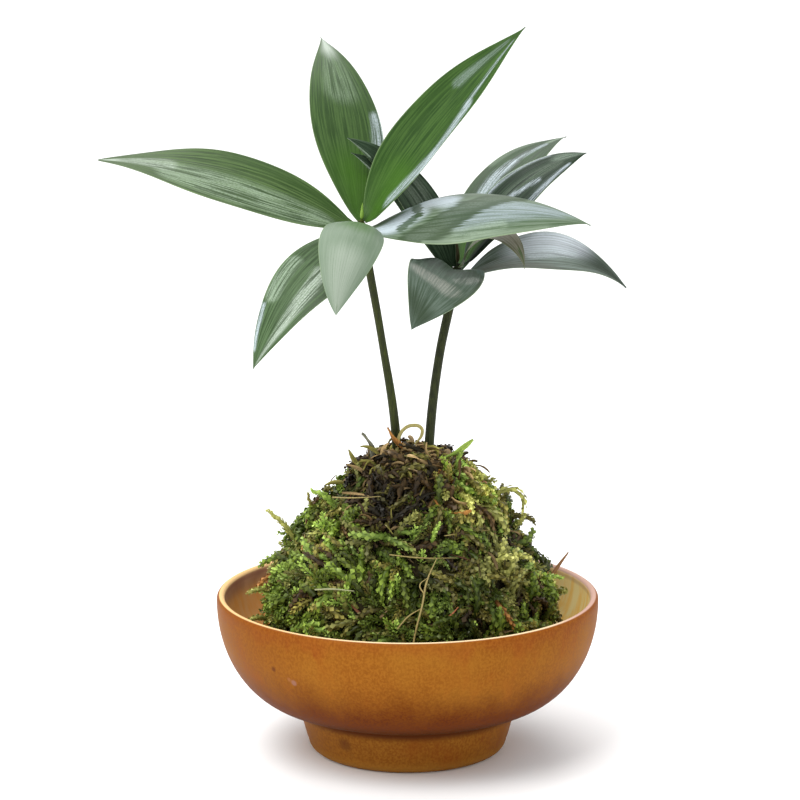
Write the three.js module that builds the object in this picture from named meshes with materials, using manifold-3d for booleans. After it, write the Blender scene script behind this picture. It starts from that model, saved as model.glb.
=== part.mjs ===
// Kokedama: a moss ball with two leafy seedlings, standing in a shallow glazed bowl.
// Millimetres, +Z up. The origin is on the bowl's axis, at the surface that its foot stands on.
// The azimuth of a leaf is 0 along +X (right), 90 along +Y (away) and 270 along -Y (front).

import * as THREE from 'three';
import { mergeVertices } from 'three/addons/utils/BufferGeometryUtils.js';
import Module from 'manifold-3d';

const wasm = await Module();
wasm.setup();

// Driving dimensions of the bowl
const BOWL_RADIUS = 65;
const BOWL_HEIGHT = 54.3;
const FOOT_RADIUS_BOTTOM = 34;
const FOOT_RADIUS_TOP = 38;
const FOOT_HEIGHT = 16.4;
const FOOT_EDGE_RADIUS = 3;
const WALL_THICKNESS = 2.8;
const FLOOR_HEIGHT = 13;
const BOWL_SEGMENTS = 40;

// Driving dimensions of the moss ball, in which lengths and radii of shoots are [least, most]
const GAP = 0.3;
const SLIVER = 0.05;
const SOIL_TOP_HEIGHT = 87.3;
const SOIL_SEGMENTS = 16;
const COAT_MOUTH_RADIUS = 21;
const COAT_MOUTH_HEIGHT = 94;
const COAT_SEGMENTS = 32;
const COAT_SHOOTS = 195;
const COAT_SHOOT_LENGTH = [8.5, 12.5];
const COAT_SHOOT_RADIUS = [1.45, 1.95];
const CROWN_BASE_RADIUS = 20.4;
const CROWN_STRANDS = 48;
const CROWN_STRAND_LENGTH = [9, 15];
const CROWN_STRAND_RADIUS = [0.9, 1.3];
const ROOT_DEPTH = 2.2;
const ABOVE_MOSS = 125;

// Driving dimensions of the seedlings
const STEM_RADIUS = 1.65;
const STEM_SIDES = 8;
const STEM_STEPS = 14;
const STEM_FOOT_HEIGHT = 62;
const HEAD_RADIUS = 1.85;
const HEAD_TOP = 3.1;
const LEAF_THICKNESS = 0.7;
const LEAF_NECK_WIDTH = 1.5;
const LEAF_ROWS = 11;
const LEAF_COLUMNS = 4;
const LEAF_DROOP_POWER = 1.3;

// Where each stem leaves the moss, its middle, and the centre of the head that carries the leaves
const STEMS = {
  left: {
    foot: [-3.2, 1],
    collar: [-3.6, 0, 110.6],
    middle: [-8.2, -4, 142],
    head: [-15.1, -12, 181],
  },
  right: {
    foot: [6.8, 1.5],
    collar: [7.6, 2, 105],
    middle: [10.7, 6, 133.5],
    head: [16.7, 12, 163],
  },
};

// Each leaf: azimuth of its seat on the head and the seat's height above the head's centre, the azimuth
// that it sets out in and how far that swings by the tip, its rise above level at the seat and how far
// the rise droops by the tip, its roll about its own length and the twist by the tip, the depth of its
// trough as a share of its half width, its length and width, and how slim it is towards its base and its
// tip, where less is fuller.
const LEAVES = {
  left_plant_back_leaf: {
    stem: 'left', seat: 110, lift: 1.5, azimuth: 100, swing: 4, rise: 60.5, droop: 47.5,
    roll: 20, twist: -16, cup: -0.05, length: 90, width: 25.5, base: 0.95, tip: 1.35,
  },
  left_plant_upright_leaf: {
    stem: 'left', seat: 25, lift: 1.8, azimuth: 353.5, swing: 5, rise: 56, droop: 10.5,
    roll: 35.5, twist: 18.5, cup: 0.4, length: 82, width: 24, base: 0.65, tip: 1.15,
  },
  left_plant_side_leaf: {
    stem: 'left', seat: 190, lift: 0, azimuth: 184, swing: -16, rise: 26.5, droop: 25.5,
    roll: -58.5, twist: 52, cup: 0.04, length: 86.5, width: 25.5, base: 0.95, tip: 0.8,
  },
  left_plant_front_leaf: {
    stem: 'left', seat: 268, lift: 0.2, azimuth: 270.5, swing: -20.5, rise: 20, droop: 96,
    roll: -4.5, twist: -17.5, cup: -0.12, length: 63, width: 20, base: 0.95, tip: 1,
  },
  left_plant_low_leaf: {
    stem: 'left', seat: 232, lift: -2, azimuth: 245.5, swing: -13.5, rise: -10, droop: 44,
    roll: -39, twist: 54, cup: 0.01, length: 73.5, width: 22, base: 0.95, tip: 1,
  },
  left_plant_crossing_leaf: {
    stem: 'left', seat: 320, lift: -0.8, azimuth: 346.5, swing: 20.5, rise: 24, droop: 51,
    roll: 29.5, twist: -13.5, cup: -0.35, length: 76, width: 30, base: 0.95, tip: 1.15,
  },
  right_plant_arching_leaf: {
    stem: 'right', seat: 215, lift: 1.8, azimuth: 206.5, swing: -2.5, rise: 70, droop: 46,
    roll: 63, twist: 33, cup: -0.08, length: 60.5, width: 12, base: 0.65, tip: 1,
  },
  right_plant_under_leaf: {
    stem: 'right', seat: 150, lift: -0.6, azimuth: 208.5, swing: -1, rise: 68.5, droop: 45.5,
    roll: 58.5, twist: 45, cup: 0.01, length: 58, width: 10.5, base: 0.95, tip: 1.15,
  },
  right_plant_back_leaf: {
    stem: 'right', seat: 65, lift: -0.4, azimuth: 73.5, swing: -28, rise: 43.5, droop: 38,
    roll: 6.5, twist: -3, cup: 0.03, length: 87, width: 19, base: 0.95, tip: 1,
  },
  right_plant_upright_leaf: {
    stem: 'right', seat: 12, lift: 1.9, azimuth: 9.5, swing: 3, rise: 65, droop: 54.5,
    roll: 18, twist: 10, cup: -0.03, length: 58.5, width: 22, base: 0.95, tip: 1.15,
  },
  right_plant_side_leaf: {
    stem: 'right', seat: 338, lift: -2.4, azimuth: 338, swing: 33.5, rise: 30, droop: 75,
    roll: 17, twist: 19.5, cup: 0.24, length: 60, width: 22, base: 0.95, tip: 1.35,
  },
  right_plant_front_leaf: {
    stem: 'right', seat: 260, lift: -1, azimuth: 267.5, swing: -22.5, rise: 17.5, droop: 57,
    roll: 4, twist: -51, cup: 0.17, length: 69, width: 25.5, base: 0.8, tip: 1,
  },
  right_plant_short_leaf: {
    stem: 'right', seat: 300, lift: 1.4, azimuth: 311.5, swing: 3, rise: 69.5, droop: 150,
    roll: 46.5, twist: -53, cup: -0.02, length: 41.5, width: 12.5, base: 0.95, tip: 1.35,
  },
};

const material = (color, roughness) => new THREE.MeshStandardMaterial({ color, roughness, metalness: 0 });

const GLAZE = material(0xbd6f1e, 0.35);
const GREEN_MOSS = material(0x6f8a2a, 0.9);
const DEAD_MOSS = material(0x5b4322, 0.95);
const SOIL = material(0x2e2118, 1);
const LEFT_STEM_BARK = material(0x3f4a22, 0.55);
const RIGHT_STEM_BARK = material(0x232a1a, 0.55);
const LEFT_LEAF = material(0x3f6b3a, 0.38);
const RIGHT_LEAF = material(0x2c4a33, 0.34);
const BUD = material(0x9db36a, 0.5);

// Seeded random numbers from 0 to 1, so that the moss grows the same way every time
function seededRandom(seed) {
  let state = seed;
  return () => {
    state = (state + 0x6d2b79f5) | 0;
    let t = Math.imul(state ^ (state >>> 15), 1 | state);
    t = (t + Math.imul(t ^ (t >>> 7), 61 | t)) ^ t;
    return ((t ^ (t >>> 14)) >>> 0) / 4294967296;
  };
}

// A closed three.js geometry as a solid that can be joined and cut
function toSolid(geometry) {
  const bare = geometry.clone();
  bare.deleteAttribute('normal');
  bare.deleteAttribute('uv');
  const merged = mergeVertices(bare, 1e-4);
  return new wasm.Manifold(new wasm.Mesh({
    numProp: 3,
    vertProperties: new Float32Array(merged.attributes.position.array),
    triVerts: new Uint32Array(merged.index.array),
  }));
}

// A solid as a three.js geometry
function toGeometry(solid) {
  const mesh = solid.getMesh();
  const geometry = new THREE.BufferGeometry();
  geometry.setAttribute('position', new THREE.BufferAttribute(new Float32Array(mesh.vertProperties), 3));
  geometry.setIndex(new THREE.BufferAttribute(new Uint32Array(mesh.triVerts), 1));
  geometry.computeVertexNormals();
  return geometry;
}

// The largest body of a solid, without the scraps and the slivers that a cut can leave
function largestBody(solid) {
  const bodies = solid.simplify(SLIVER).decompose();
  return bodies.reduce((best, body) => (body.volume() > best.volume() ? body : best));
}

// A closed geometry through rings of points, each ring with the same number of points, ends capped
function loft(rings) {
  const count = rings[0].length;
  const positions = rings.flat().flatMap((point) => [point.x, point.y, point.z]);
  const index = [];
  for (let row = 0; row + 1 < rings.length; row += 1) {
    for (let i = 0; i < count; i += 1) {
      const a = row * count + i;
      const b = row * count + (i + 1) % count;
      index.push(a, b, b + count, a, b + count, a + count);
    }
  }
  const last = (rings.length - 1) * count;
  for (let i = 1; i + 1 < count; i += 1) {
    index.push(0, i + 1, i);
    index.push(last, last + i, last + i + 1);
  }
  const geometry = new THREE.BufferGeometry();
  geometry.setAttribute('position', new THREE.Float32BufferAttribute(positions, 3));
  geometry.setIndex(index);
  return geometry;
}

// A solid of revolution about the Z axis from a profile of [radius, height] points
function revolve(profile, segments) {
  const points = profile.map(([radius, height]) => new THREE.Vector2(radius, height));
  const geometry = new THREE.LatheGeometry(points, segments);
  geometry.rotateX(Math.PI / 2);
  return geometry;
}

// A smooth curve through a few [radius, height] points
function profileCurve(points) {
  return new THREE.SplineCurve(points.map(([radius, height]) => new THREE.Vector2(radius, height)));
}

function smoothProfile(points, divisions) {
  return profileCurve(points).getPoints(divisions).map((point) => [Math.max(point.x, 0), point.y]);
}

// Bowl

// Height of the bowl's inside at a distance from the axis
const INSIDE_RADIUS = BOWL_RADIUS - WALL_THICKNESS;
const INSIDE_DEPTH = BOWL_HEIGHT - FLOOR_HEIGHT;
const INSIDE_FULLNESS = 2.2;

function insideHeight(radius) {
  const share = Math.min(radius / INSIDE_RADIUS, 1) ** INSIDE_FULLNESS;
  return BOWL_HEIGHT - INSIDE_DEPTH * (1 - share) ** (1 / INSIDE_FULLNESS);
}

// Profile of the inside from the axis to the rim, moved inwards by a clearance
function insideProfile(clearance, steps) {
  const profile = [];
  for (let i = 0; i <= steps; i += 1) {
    const radius = INSIDE_RADIUS * Math.sin((i / steps) * Math.PI / 2);
    const slope = i / steps;
    profile.push([Math.max(radius - clearance * slope, 0), insideHeight(radius) + clearance * (1 - slope)]);
  }
  return profile;
}

function bowl() {
  const outside = [[0, 0], [FOOT_RADIUS_BOTTOM - FOOT_EDGE_RADIUS, 0]];
  const edgeSteps = 3;
  for (let i = 1; i <= edgeSteps; i += 1) {
    const angle = (i / edgeSteps) * Math.PI / 2;
    outside.push([
      FOOT_RADIUS_BOTTOM - FOOT_EDGE_RADIUS * (1 - Math.sin(angle)),
      FOOT_EDGE_RADIUS * (1 - Math.cos(angle)),
    ]);
  }
  outside.push([FOOT_RADIUS_TOP, FOOT_HEIGHT - 0.8]);

  // The body is a quarter of an ellipse from the top of the foot to the widest place, under the lip
  const bodyTop = BOWL_HEIGHT - 2.3;
  const bodySteps = 7;
  for (let i = 0; i <= bodySteps; i += 1) {
    const angle = (i / bodySteps) * Math.PI / 2;
    outside.push([
      FOOT_RADIUS_TOP + 0.6 + (BOWL_RADIUS - FOOT_RADIUS_TOP - 0.6) * Math.sin(angle),
      bodyTop - (bodyTop - FOOT_HEIGHT) * Math.cos(angle),
    ]);
  }

  // The lip is half a circle as thick as the wall
  const lipRadius = WALL_THICKNESS / 2;
  const lipSteps = 4;
  for (let i = 1; i < lipSteps; i += 1) {
    const angle = (i / lipSteps) * Math.PI;
    outside.push([
      BOWL_RADIUS - lipRadius + lipRadius * Math.cos(angle),
      BOWL_HEIGHT - lipRadius + lipRadius * Math.sin(angle),
    ]);
  }
  const inside = insideProfile(0, 8).filter(([, height]) => height < BOWL_HEIGHT - lipRadius);
  const profile = outside.concat(inside.reverse());
  return revolve(profile, BOWL_SEGMENTS);
}

// Moss ball

// Outside of the packed moss, below the shoots that stand out of it
const COAT_OUTSIDE = [
  [13, insideHeight(13) + GAP],
  [30, 19.5],
  [41, 28.5],
  [45.5, 39],
  [46.4, 50],
  [44.4, 60],
  [39.5, 71],
  [33, 82],
  [26, 90.5],
];

const SOIL_OUTSIDE = [
  [14, 21.5],
  [28, 27.5],
  [36.5, 38],
  [38.5, 50],
  [36.5, 62],
  [32, 72.5],
  [26, 81],
  [CROWN_BASE_RADIUS, SOIL_TOP_HEIGHT - 0.8],
];

function soilProfile(clearance) {
  const side = smoothProfile(SOIL_OUTSIDE.map(([radius, height]) => [radius + clearance, height]), 8);
  return [[0, 21 - clearance], ...side];
}

function soilBall() {
  const profile = [...soilProfile(0), [CROWN_BASE_RADIUS - 1, SOIL_TOP_HEIGHT], [0, SOIL_TOP_HEIGHT]];
  return largestBody(toSolid(revolve(profile, SOIL_SEGMENTS)).subtract(stemHoles()));
}

// Packed moss bulges and dips between the shoots
function bulge(angle, height) {
  return 1.2 * Math.sin(6 * angle + 1) * Math.sin(0.16 * height + 2)
    + 0.9 * Math.sin(9 * angle - 2) * Math.cos(0.25 * height)
    + 0.5 * Math.sin(13 * angle + 0.3 * height);
}

function packedMoss() {
  const profile = [
    [0, insideHeight(0) + 2 * GAP],
    ...smoothProfile(COAT_OUTSIDE, 12),
    [COAT_MOUTH_RADIUS, COAT_MOUTH_HEIGHT],
    [0, COAT_MOUTH_HEIGHT],
  ];
  const geometry = revolve(profile, COAT_SEGMENTS);
  const position = geometry.attributes.position;
  for (let i = 0; i < position.count; i += 1) {
    const row = i % profile.length;
    const bulging = row > 3 && row < profile.length - 2;
    if (bulging) {
      const radius = Math.hypot(position.getX(i), position.getY(i));
      const angle = Math.atan2(position.getY(i), position.getX(i));
      const scale = 1 + bulge(angle, position.getZ(i)) / radius;
      position.setX(i, position.getX(i) * scale);
      position.setY(i, position.getY(i) * scale);
    }
  }
  return toSolid(geometry);
}

const between = ([least, most], share) => least + (most - least) * share;

// A moss shoot: a slim three-sided horn that starts under the surface, sets out along one direction
// and bends towards another
function shoot(root, direction, bend, length, radius) {
  const path = new THREE.QuadraticBezierCurve3(
    root,
    root.clone().addScaledVector(direction, length * 0.55),
    root.clone().addScaledVector(direction, length * 0.7).addScaledVector(bend, length * 0.5),
  );
  const rings = [0, 0.55, 1].map((t) => {
    const centre = path.getPoint(t);
    const forward = path.getTangent(t);
    const side = new THREE.Vector3().crossVectors(forward, bend).normalize();
    const over = new THREE.Vector3().crossVectors(forward, side).normalize();
    const size = radius * (1.12 - 0.92 * t * t);
    return [0, 1, 2].map((corner) => {
      const angle = (corner / 3) * Math.PI * 2;
      return centre.clone()
        .addScaledVector(side, size * Math.cos(angle))
        .addScaledVector(over, size * Math.sin(angle));
    });
  });
  return toSolid(loft(rings));
}

// Shoots spread evenly over the packed moss by a spiral, with a seeded scatter
function coatShoots() {
  const random = seededRandom(11);
  const side = profileCurve(COAT_OUTSIDE);
  const shoots = [];
  const goldenAngle = Math.PI * (3 - Math.sqrt(5));
  for (let i = 0; i < COAT_SHOOTS; i += 1) {
    const along = 0.27 + 0.71 * ((i + 0.5) / COAT_SHOOTS) ** 1.12;
    const point = side.getPointAt(along);
    const slope = side.getTangentAt(along);

    const angle = i * goldenAngle + (random() - 0.5) * 0.25;
    const radial = new THREE.Vector3(Math.cos(angle), Math.sin(angle), 0);
    const around = new THREE.Vector3(-Math.sin(angle), Math.cos(angle), 0);
    const out = radial.clone().multiplyScalar(slope.y);
    out.z = -slope.x;
    const radius = point.x + bulge(angle, point.y) - ROOT_DEPTH;
    const root = radial.clone().multiplyScalar(radius);
    root.z = point.y;
    const direction = out.clone()
      .addScaledVector(around, (random() - 0.5) * 1.4)
      .add(new THREE.Vector3(0, 0, (random() - 0.45) * 1.2))
      .normalize();
    const bend = around.clone()
      .multiplyScalar(random() - 0.5)
      .add(new THREE.Vector3(0, 0, random() - 0.6))
      .addScaledVector(out, 0.2)
      .normalize();
    const length = between(COAT_SHOOT_LENGTH, random());
    shoots.push(shoot(root, direction, bend, length, between(COAT_SHOOT_RADIUS, random())));
  }
  return shoots;
}

// The green moss stays clear of the bowl's inside and of the space that the dead moss fills
function mossCoat() {
  const bowlSpace = toSolid(revolve(
    [...insideProfile(GAP, 8), [INSIDE_RADIUS - GAP, ABOVE_MOSS], [0, ABOVE_MOSS]],
    BOWL_SEGMENTS,
  ));
  const soilSpace = toSolid(revolve([...soilProfile(GAP + 0.1), [0, SOIL_TOP_HEIGHT]], SOIL_SEGMENTS));
  const grown = wasm.Manifold.union([packedMoss(), ...coatShoots()]);
  const trimmed = grown.intersect(bowlSpace).subtract(soilSpace).subtract(crownSpace(GAP));
  return largestBody(trimmed);
}

// The space of the dead moss: a plug in the mouth of the coat that flares above it
function crownSpace(clearance) {
  const below = SOIL_TOP_HEIGHT - 4;
  return toSolid(revolve([
    [0, below],
    [CROWN_BASE_RADIUS + clearance, below],
    [CROWN_BASE_RADIUS + clearance, 91],
    [23 + clearance, 97],
    [25 + clearance, 104],
    [25 + clearance, ABOVE_MOSS],
    [0, ABOVE_MOSS],
  ], COAT_SEGMENTS));
}

// Dead strands lie over each other round the stems, most of them hanging outwards
function crownStrands() {
  const random = seededRandom(10);
  const strands = [];
  for (let i = 0; i < CROWN_STRANDS; i += 1) {
    const share = Math.sqrt((i + 0.5) / CROWN_STRANDS);
    const angle = i * 2.4 + random() * 0.4;
    const radial = new THREE.Vector3(Math.cos(angle), Math.sin(angle), 0);
    const around = new THREE.Vector3(-Math.sin(angle), Math.cos(angle), 0);
    const root = radial.clone().multiplyScalar(2 + 15.5 * share);
    root.z = 103.4 - 13 * share ** 2;
    const direction = radial.clone()
      .multiplyScalar(0.35 + 0.5 * random())
      .addScaledVector(around, (random() - 0.5) * 1.6)
      .add(new THREE.Vector3(0, 0, 0.35 + 0.6 * random()))
      .normalize();
    const bend = around.clone()
      .multiplyScalar(random() - 0.5)
      .addScaledVector(radial, 0.5 * random())
      .add(new THREE.Vector3(0, 0, -0.9 * random()))
      .normalize();
    const length = between(CROWN_STRAND_LENGTH, random());
    strands.push(shoot(root, direction, bend, length, between(CROWN_STRAND_RADIUS, random())));
  }
  return strands;
}

// The heap is cut to the mouth of the coat and to the flat top of the soil
function mossCrown() {
  const base = SOIL_TOP_HEIGHT + GAP;
  const spread = CROWN_BASE_RADIUS + 2;
  const mound = smoothProfile([[spread, base + 2], [17.5, 95], [12.5, 101], [7, 105], [0, 106.5]], 9);
  const heap = toSolid(revolve([[0, base - 2], [spread, base - 2], ...mound], 28));
  const aboveSoil = toSolid(revolve(
    [[0, base], [2 * spread, base], [2 * spread, ABOVE_MOSS], [0, ABOVE_MOSS]],
    COAT_SEGMENTS,
  ));
  const grown = wasm.Manifold.union([heap, ...crownStrands()]);
  return largestBody(grown.intersect(crownSpace(0)).intersect(aboveSoil).subtract(stemHoles()));
}

// Seedlings

const vector = (values) => new THREE.Vector3(...values);

function stemCurve({ foot, collar, middle, head }, footHeight) {
  const belowCollar = [foot[0], foot[1], SOIL_TOP_HEIGHT];
  return new THREE.CatmullRomCurve3([[...foot, footHeight], belowCollar, collar, middle, head].map(vector));
}

function tube(curve, radius, steps) {
  const section = new THREE.Shape();
  for (let i = 0; i < STEM_SIDES; i += 1) {
    const angle = (i / STEM_SIDES) * Math.PI * 2;
    const place = [radius * Math.cos(angle), radius * Math.sin(angle)];
    if (i === 0) {
      section.moveTo(...place);
    } else {
      section.lineTo(...place);
    }
  }
  return toSolid(new THREE.ExtrudeGeometry(section, { steps, bevelEnabled: false, extrudePath: curve }));
}

// The plain holes that the two stems stand in, through the dead moss and into the soil
function stemHoles() {
  const holes = Object.values(STEMS).map((stem) => (
    tube(stemCurve(stem, STEM_FOOT_HEIGHT - GAP), STEM_RADIUS + GAP + 0.1, STEM_STEPS)
  ));
  return wasm.Manifold.union(holes);
}

// A stem is a bare rod with a swollen head, round which the leaves are seated
function stem(side) {
  const { head } = STEMS[side];
  const swelling = revolve([
    [0, -3.4],
    [STEM_RADIUS - 0.1, -3.2],
    [HEAD_RADIUS, -1.6],
    [HEAD_RADIUS, 1.8],
    [1.3, 2.8],
    [0, HEAD_TOP],
  ], STEM_SIDES).translate(...head);
  return tube(stemCurve(STEMS[side], STEM_FOOT_HEIGHT), STEM_RADIUS, STEM_STEPS).add(toSolid(swelling));
}

// A pointed bud on top of the head
function terminalBud(side, height, radius) {
  const profile = smoothProfile([
    [0, 0],
    [radius * 0.8, 0.3],
    [radius, height * 0.35],
    [radius * 0.5, height * 0.75],
    [0, height],
  ], 8);
  const [x, y, z] = STEMS[side].head;
  return revolve(profile, STEM_SIDES).translate(x, y, z + HEAD_TOP + GAP);
}

const radians = THREE.MathUtils.degToRad;

// Half width of a leaf along its length: a short neck, widest before the middle, a fine tip
function leafHalfWidth(leaf, t) {
  const peak = leaf.base / (leaf.base + leaf.tip);
  const full = peak ** leaf.base * (1 - peak) ** leaf.tip;
  const blade = (leaf.width / 2) * (t ** leaf.base * (1 - t) ** leaf.tip) / full;
  const neck = (LEAF_NECK_WIDTH / 2) * (1 - t) ** 6;
  return Math.max(blade + neck, 0.3);
}

// Along, across and upper directions of a leaf at a share t of its length
function leafDirections(leaf, t) {
  const heading = radians(leaf.azimuth + leaf.swing * t);
  const rise = radians(leaf.rise - leaf.droop * t ** LEAF_DROOP_POWER);
  const along = new THREE.Vector3(
    Math.cos(heading) * Math.cos(rise),
    Math.sin(heading) * Math.cos(rise),
    Math.sin(rise),
  );
  const level = new THREE.Vector3(-Math.sin(heading), Math.cos(heading), 0);
  const upright = new THREE.Vector3().crossVectors(along, level);
  const roll = radians(leaf.roll + leaf.twist * t);
  const across = level.clone().multiplyScalar(Math.cos(roll)).addScaledVector(upright, Math.sin(roll));
  const upper = upright.clone().multiplyScalar(Math.cos(roll)).addScaledVector(level, -Math.sin(roll));
  return { along, across, upper };
}

// Where the neck of a leaf starts: beside the head of its stem, as far out as its own section needs
function leafSeat(leaf) {
  const seat = radians(leaf.seat);
  const outward = new THREE.Vector3(Math.cos(seat), Math.sin(seat), 0);
  const { across, upper } = leafDirections(leaf, 0);
  const reach = (LEAF_NECK_WIDTH / 2) * Math.abs(across.dot(outward))
    + (LEAF_THICKNESS / 2) * Math.abs(upper.dot(outward));
  const [x, y, z] = STEMS[leaf.stem].head;
  return new THREE.Vector3(x, y, z + leaf.lift).addScaledVector(outward, HEAD_RADIUS + GAP + reach);
}

// A leaf is a thin blade with two faces split into triangles alike, so that they never cross
function leafBlade(leaf) {
  const middle = leafSeat(leaf);
  const upperFace = [];
  const lowerFace = [];
  for (let row = 0; row <= LEAF_ROWS; row += 1) {
    const t = row / LEAF_ROWS;
    const { across, upper } = leafDirections(leaf, t);
    const halfWidth = leafHalfWidth(leaf, t);
    for (let column = 0; column <= LEAF_COLUMNS; column += 1) {
      const u = (2 * column) / LEAF_COLUMNS - 1;
      const point = middle.clone()
        .addScaledVector(across, u * halfWidth)
        .addScaledVector(upper, u * u * leaf.cup * halfWidth);
      upperFace.push(point.clone().addScaledVector(upper, LEAF_THICKNESS / 2));
      lowerFace.push(point.clone().addScaledVector(upper, -LEAF_THICKNESS / 2));
    }
    const halfStep = leafDirections(leaf, (row + 0.5) / LEAF_ROWS).along;
    middle.addScaledVector(halfStep, leaf.length / LEAF_ROWS);
  }
  const perRow = LEAF_COLUMNS + 1;
  const lower = upperFace.length;
  const index = [];
  const quad = (a, b, c, d) => index.push(a, b, c, a, c, d);
  for (let row = 0; row < LEAF_ROWS; row += 1) {
    for (let column = 0; column < LEAF_COLUMNS; column += 1) {
      const a = row * perRow + column;
      const b = a + perRow;
      quad(a, b, b + 1, a + 1);
      quad(lower + a, lower + a + 1, lower + b + 1, lower + b);
    }
    const left = row * perRow;
    const right = left + LEAF_COLUMNS;
    quad(left, lower + left, lower + left + perRow, left + perRow);
    quad(right, right + perRow, lower + right + perRow, lower + right);
  }
  const tip = LEAF_ROWS * perRow;
  for (let column = 0; column < LEAF_COLUMNS; column += 1) {
    quad(column, column + 1, lower + column + 1, lower + column);
    quad(tip + column, lower + tip + column, lower + tip + column + 1, tip + column + 1);
  }
  const geometry = new THREE.BufferGeometry();
  const points = [...upperFace, ...lowerFace].flatMap((point) => [point.x, point.y, point.z]);
  geometry.setAttribute('position', new THREE.Float32BufferAttribute(points, 3));
  geometry.setIndex(index);
  geometry.computeVertexNormals();
  return geometry;
}

const group = new THREE.Group();

function addPiece(name, geometry, finish) {
  const mesh = new THREE.Mesh(geometry, finish.clone());
  mesh.name = name;
  group.add(mesh);
}

addPiece('bowl', bowl(), GLAZE);
addPiece('soil_ball', toGeometry(soilBall()), SOIL);
addPiece('moss_coat', toGeometry(mossCoat()), GREEN_MOSS);
addPiece('moss_crown', toGeometry(mossCrown()), DEAD_MOSS);
addPiece('stem_left', toGeometry(stem('left')), LEFT_STEM_BARK);
addPiece('stem_right', toGeometry(stem('right')), RIGHT_STEM_BARK);
addPiece('terminal_bud_left', terminalBud('left', 5, 1.2), BUD);
addPiece('terminal_bud_right', terminalBud('right', 8, 1), BUD);

for (const [name, leaf] of Object.entries(LEAVES)) {
  addPiece(name, leafBlade(leaf), leaf.stem === 'left' ? LEFT_LEAF : RIGHT_LEAF);
}

export default group;
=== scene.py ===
# Kokedama: a moss ball with two leafy seedlings, standing in a shallow glazed bowl.
# Metres, +Z up. The origin is on the bowl's axis, at the surface that its foot stands on.
# -Y is the front, and an azimuth is 0 along +X (right) and 90 along +Y (away).

import math
from collections import namedtuple

import bpy
import numpy as np
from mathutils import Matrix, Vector, noise


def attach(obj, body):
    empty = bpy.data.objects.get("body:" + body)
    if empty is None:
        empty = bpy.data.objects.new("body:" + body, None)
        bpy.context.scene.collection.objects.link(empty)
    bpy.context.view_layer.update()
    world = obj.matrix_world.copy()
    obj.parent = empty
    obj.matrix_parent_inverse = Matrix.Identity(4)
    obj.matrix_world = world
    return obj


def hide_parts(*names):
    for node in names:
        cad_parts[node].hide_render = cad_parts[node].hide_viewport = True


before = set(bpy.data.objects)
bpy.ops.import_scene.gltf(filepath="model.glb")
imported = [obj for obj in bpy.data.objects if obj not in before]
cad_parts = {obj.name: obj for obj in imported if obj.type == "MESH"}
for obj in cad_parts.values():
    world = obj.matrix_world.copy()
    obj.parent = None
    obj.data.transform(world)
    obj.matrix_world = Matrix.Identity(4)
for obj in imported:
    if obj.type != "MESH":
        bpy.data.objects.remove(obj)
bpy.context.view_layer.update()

MM = 0.001


# Camera
# It stands in front of the bowl, a little above the moss, and looks down at it through a long lens.

CAMERA_PLACE = (-2.566 * MM, -962.455 * MM, 311.44 * MM)
CAMERA_DOWN = 11.198
CAMERA_LENS = 131.12

bpy.ops.object.camera_add(location=CAMERA_PLACE, rotation=(math.radians(90 - CAMERA_DOWN), 0, 0))
camera = bpy.context.object
camera.name = "camera"
camera.data.lens = CAMERA_LENS
camera.data.sensor_width = 36
camera.data.clip_start = 0.05
bpy.context.scene.camera = camera


# Bowl
# A thrown stoneware bowl on a turned foot, with an ochre satin glaze that is browner low on the body and
# over the foot, and breaks pale along the lip. Painted shade darkens it low down, over the foot and on its
# left, painted light brightens its inside, and a painted highlight lies on the lip. It is drawn up ring by
# ring, as on the wheel, from the flat underside over the lip to the middle of its inside.

BOWL_SIDES = 160
BOWL_RADIUS = 65 * MM
BOWL_HEIGHT = 54.3 * MM
BOWL_WALL = 2.8 * MM
LIP_DEPTH = 2.3 * MM
BOWL_FLOOR = 13 * MM
FOOT_RADIUS = 34 * MM
FOOT_EDGE = 3.6 * MM
FOOT_TOP = 16.4 * MM
SEAM_RADIUS = 38.4 * MM
INSIDE_RADIUS = BOWL_RADIUS - BOWL_WALL
INSIDE_FULLNESS = 2.2

# Radius and height in millimetres of the turned foot, from its rounded edge to the fillet under the body
FOOT_PROFILE = (
    (34.6, 5), (35.3, 7.5), (36.1, 10.5), (36.7, 13), (36.9, 14.2), (36.9, 14.9), (37.3, 15.4), (37.9, 15.7),
    (38.1, 16),
)


def inside_height(radius):
    """Height of the bowl's inside at a distance from the axis."""
    share = min(radius / INSIDE_RADIUS, 1) ** INSIDE_FULLNESS
    return BOWL_HEIGHT - (BOWL_HEIGHT - BOWL_FLOOR) * (1 - share) ** (1 / INSIDE_FULLNESS)


def inside_radius(height):
    """Radius of the bowl's inside at a height, for numbers or arrays."""
    share = np.clip((BOWL_HEIGHT - height) / (BOWL_HEIGHT - BOWL_FLOOR), 0, 1)
    return INSIDE_RADIUS * (1 - share ** INSIDE_FULLNESS) ** (1 / INSIDE_FULLNESS)


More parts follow.
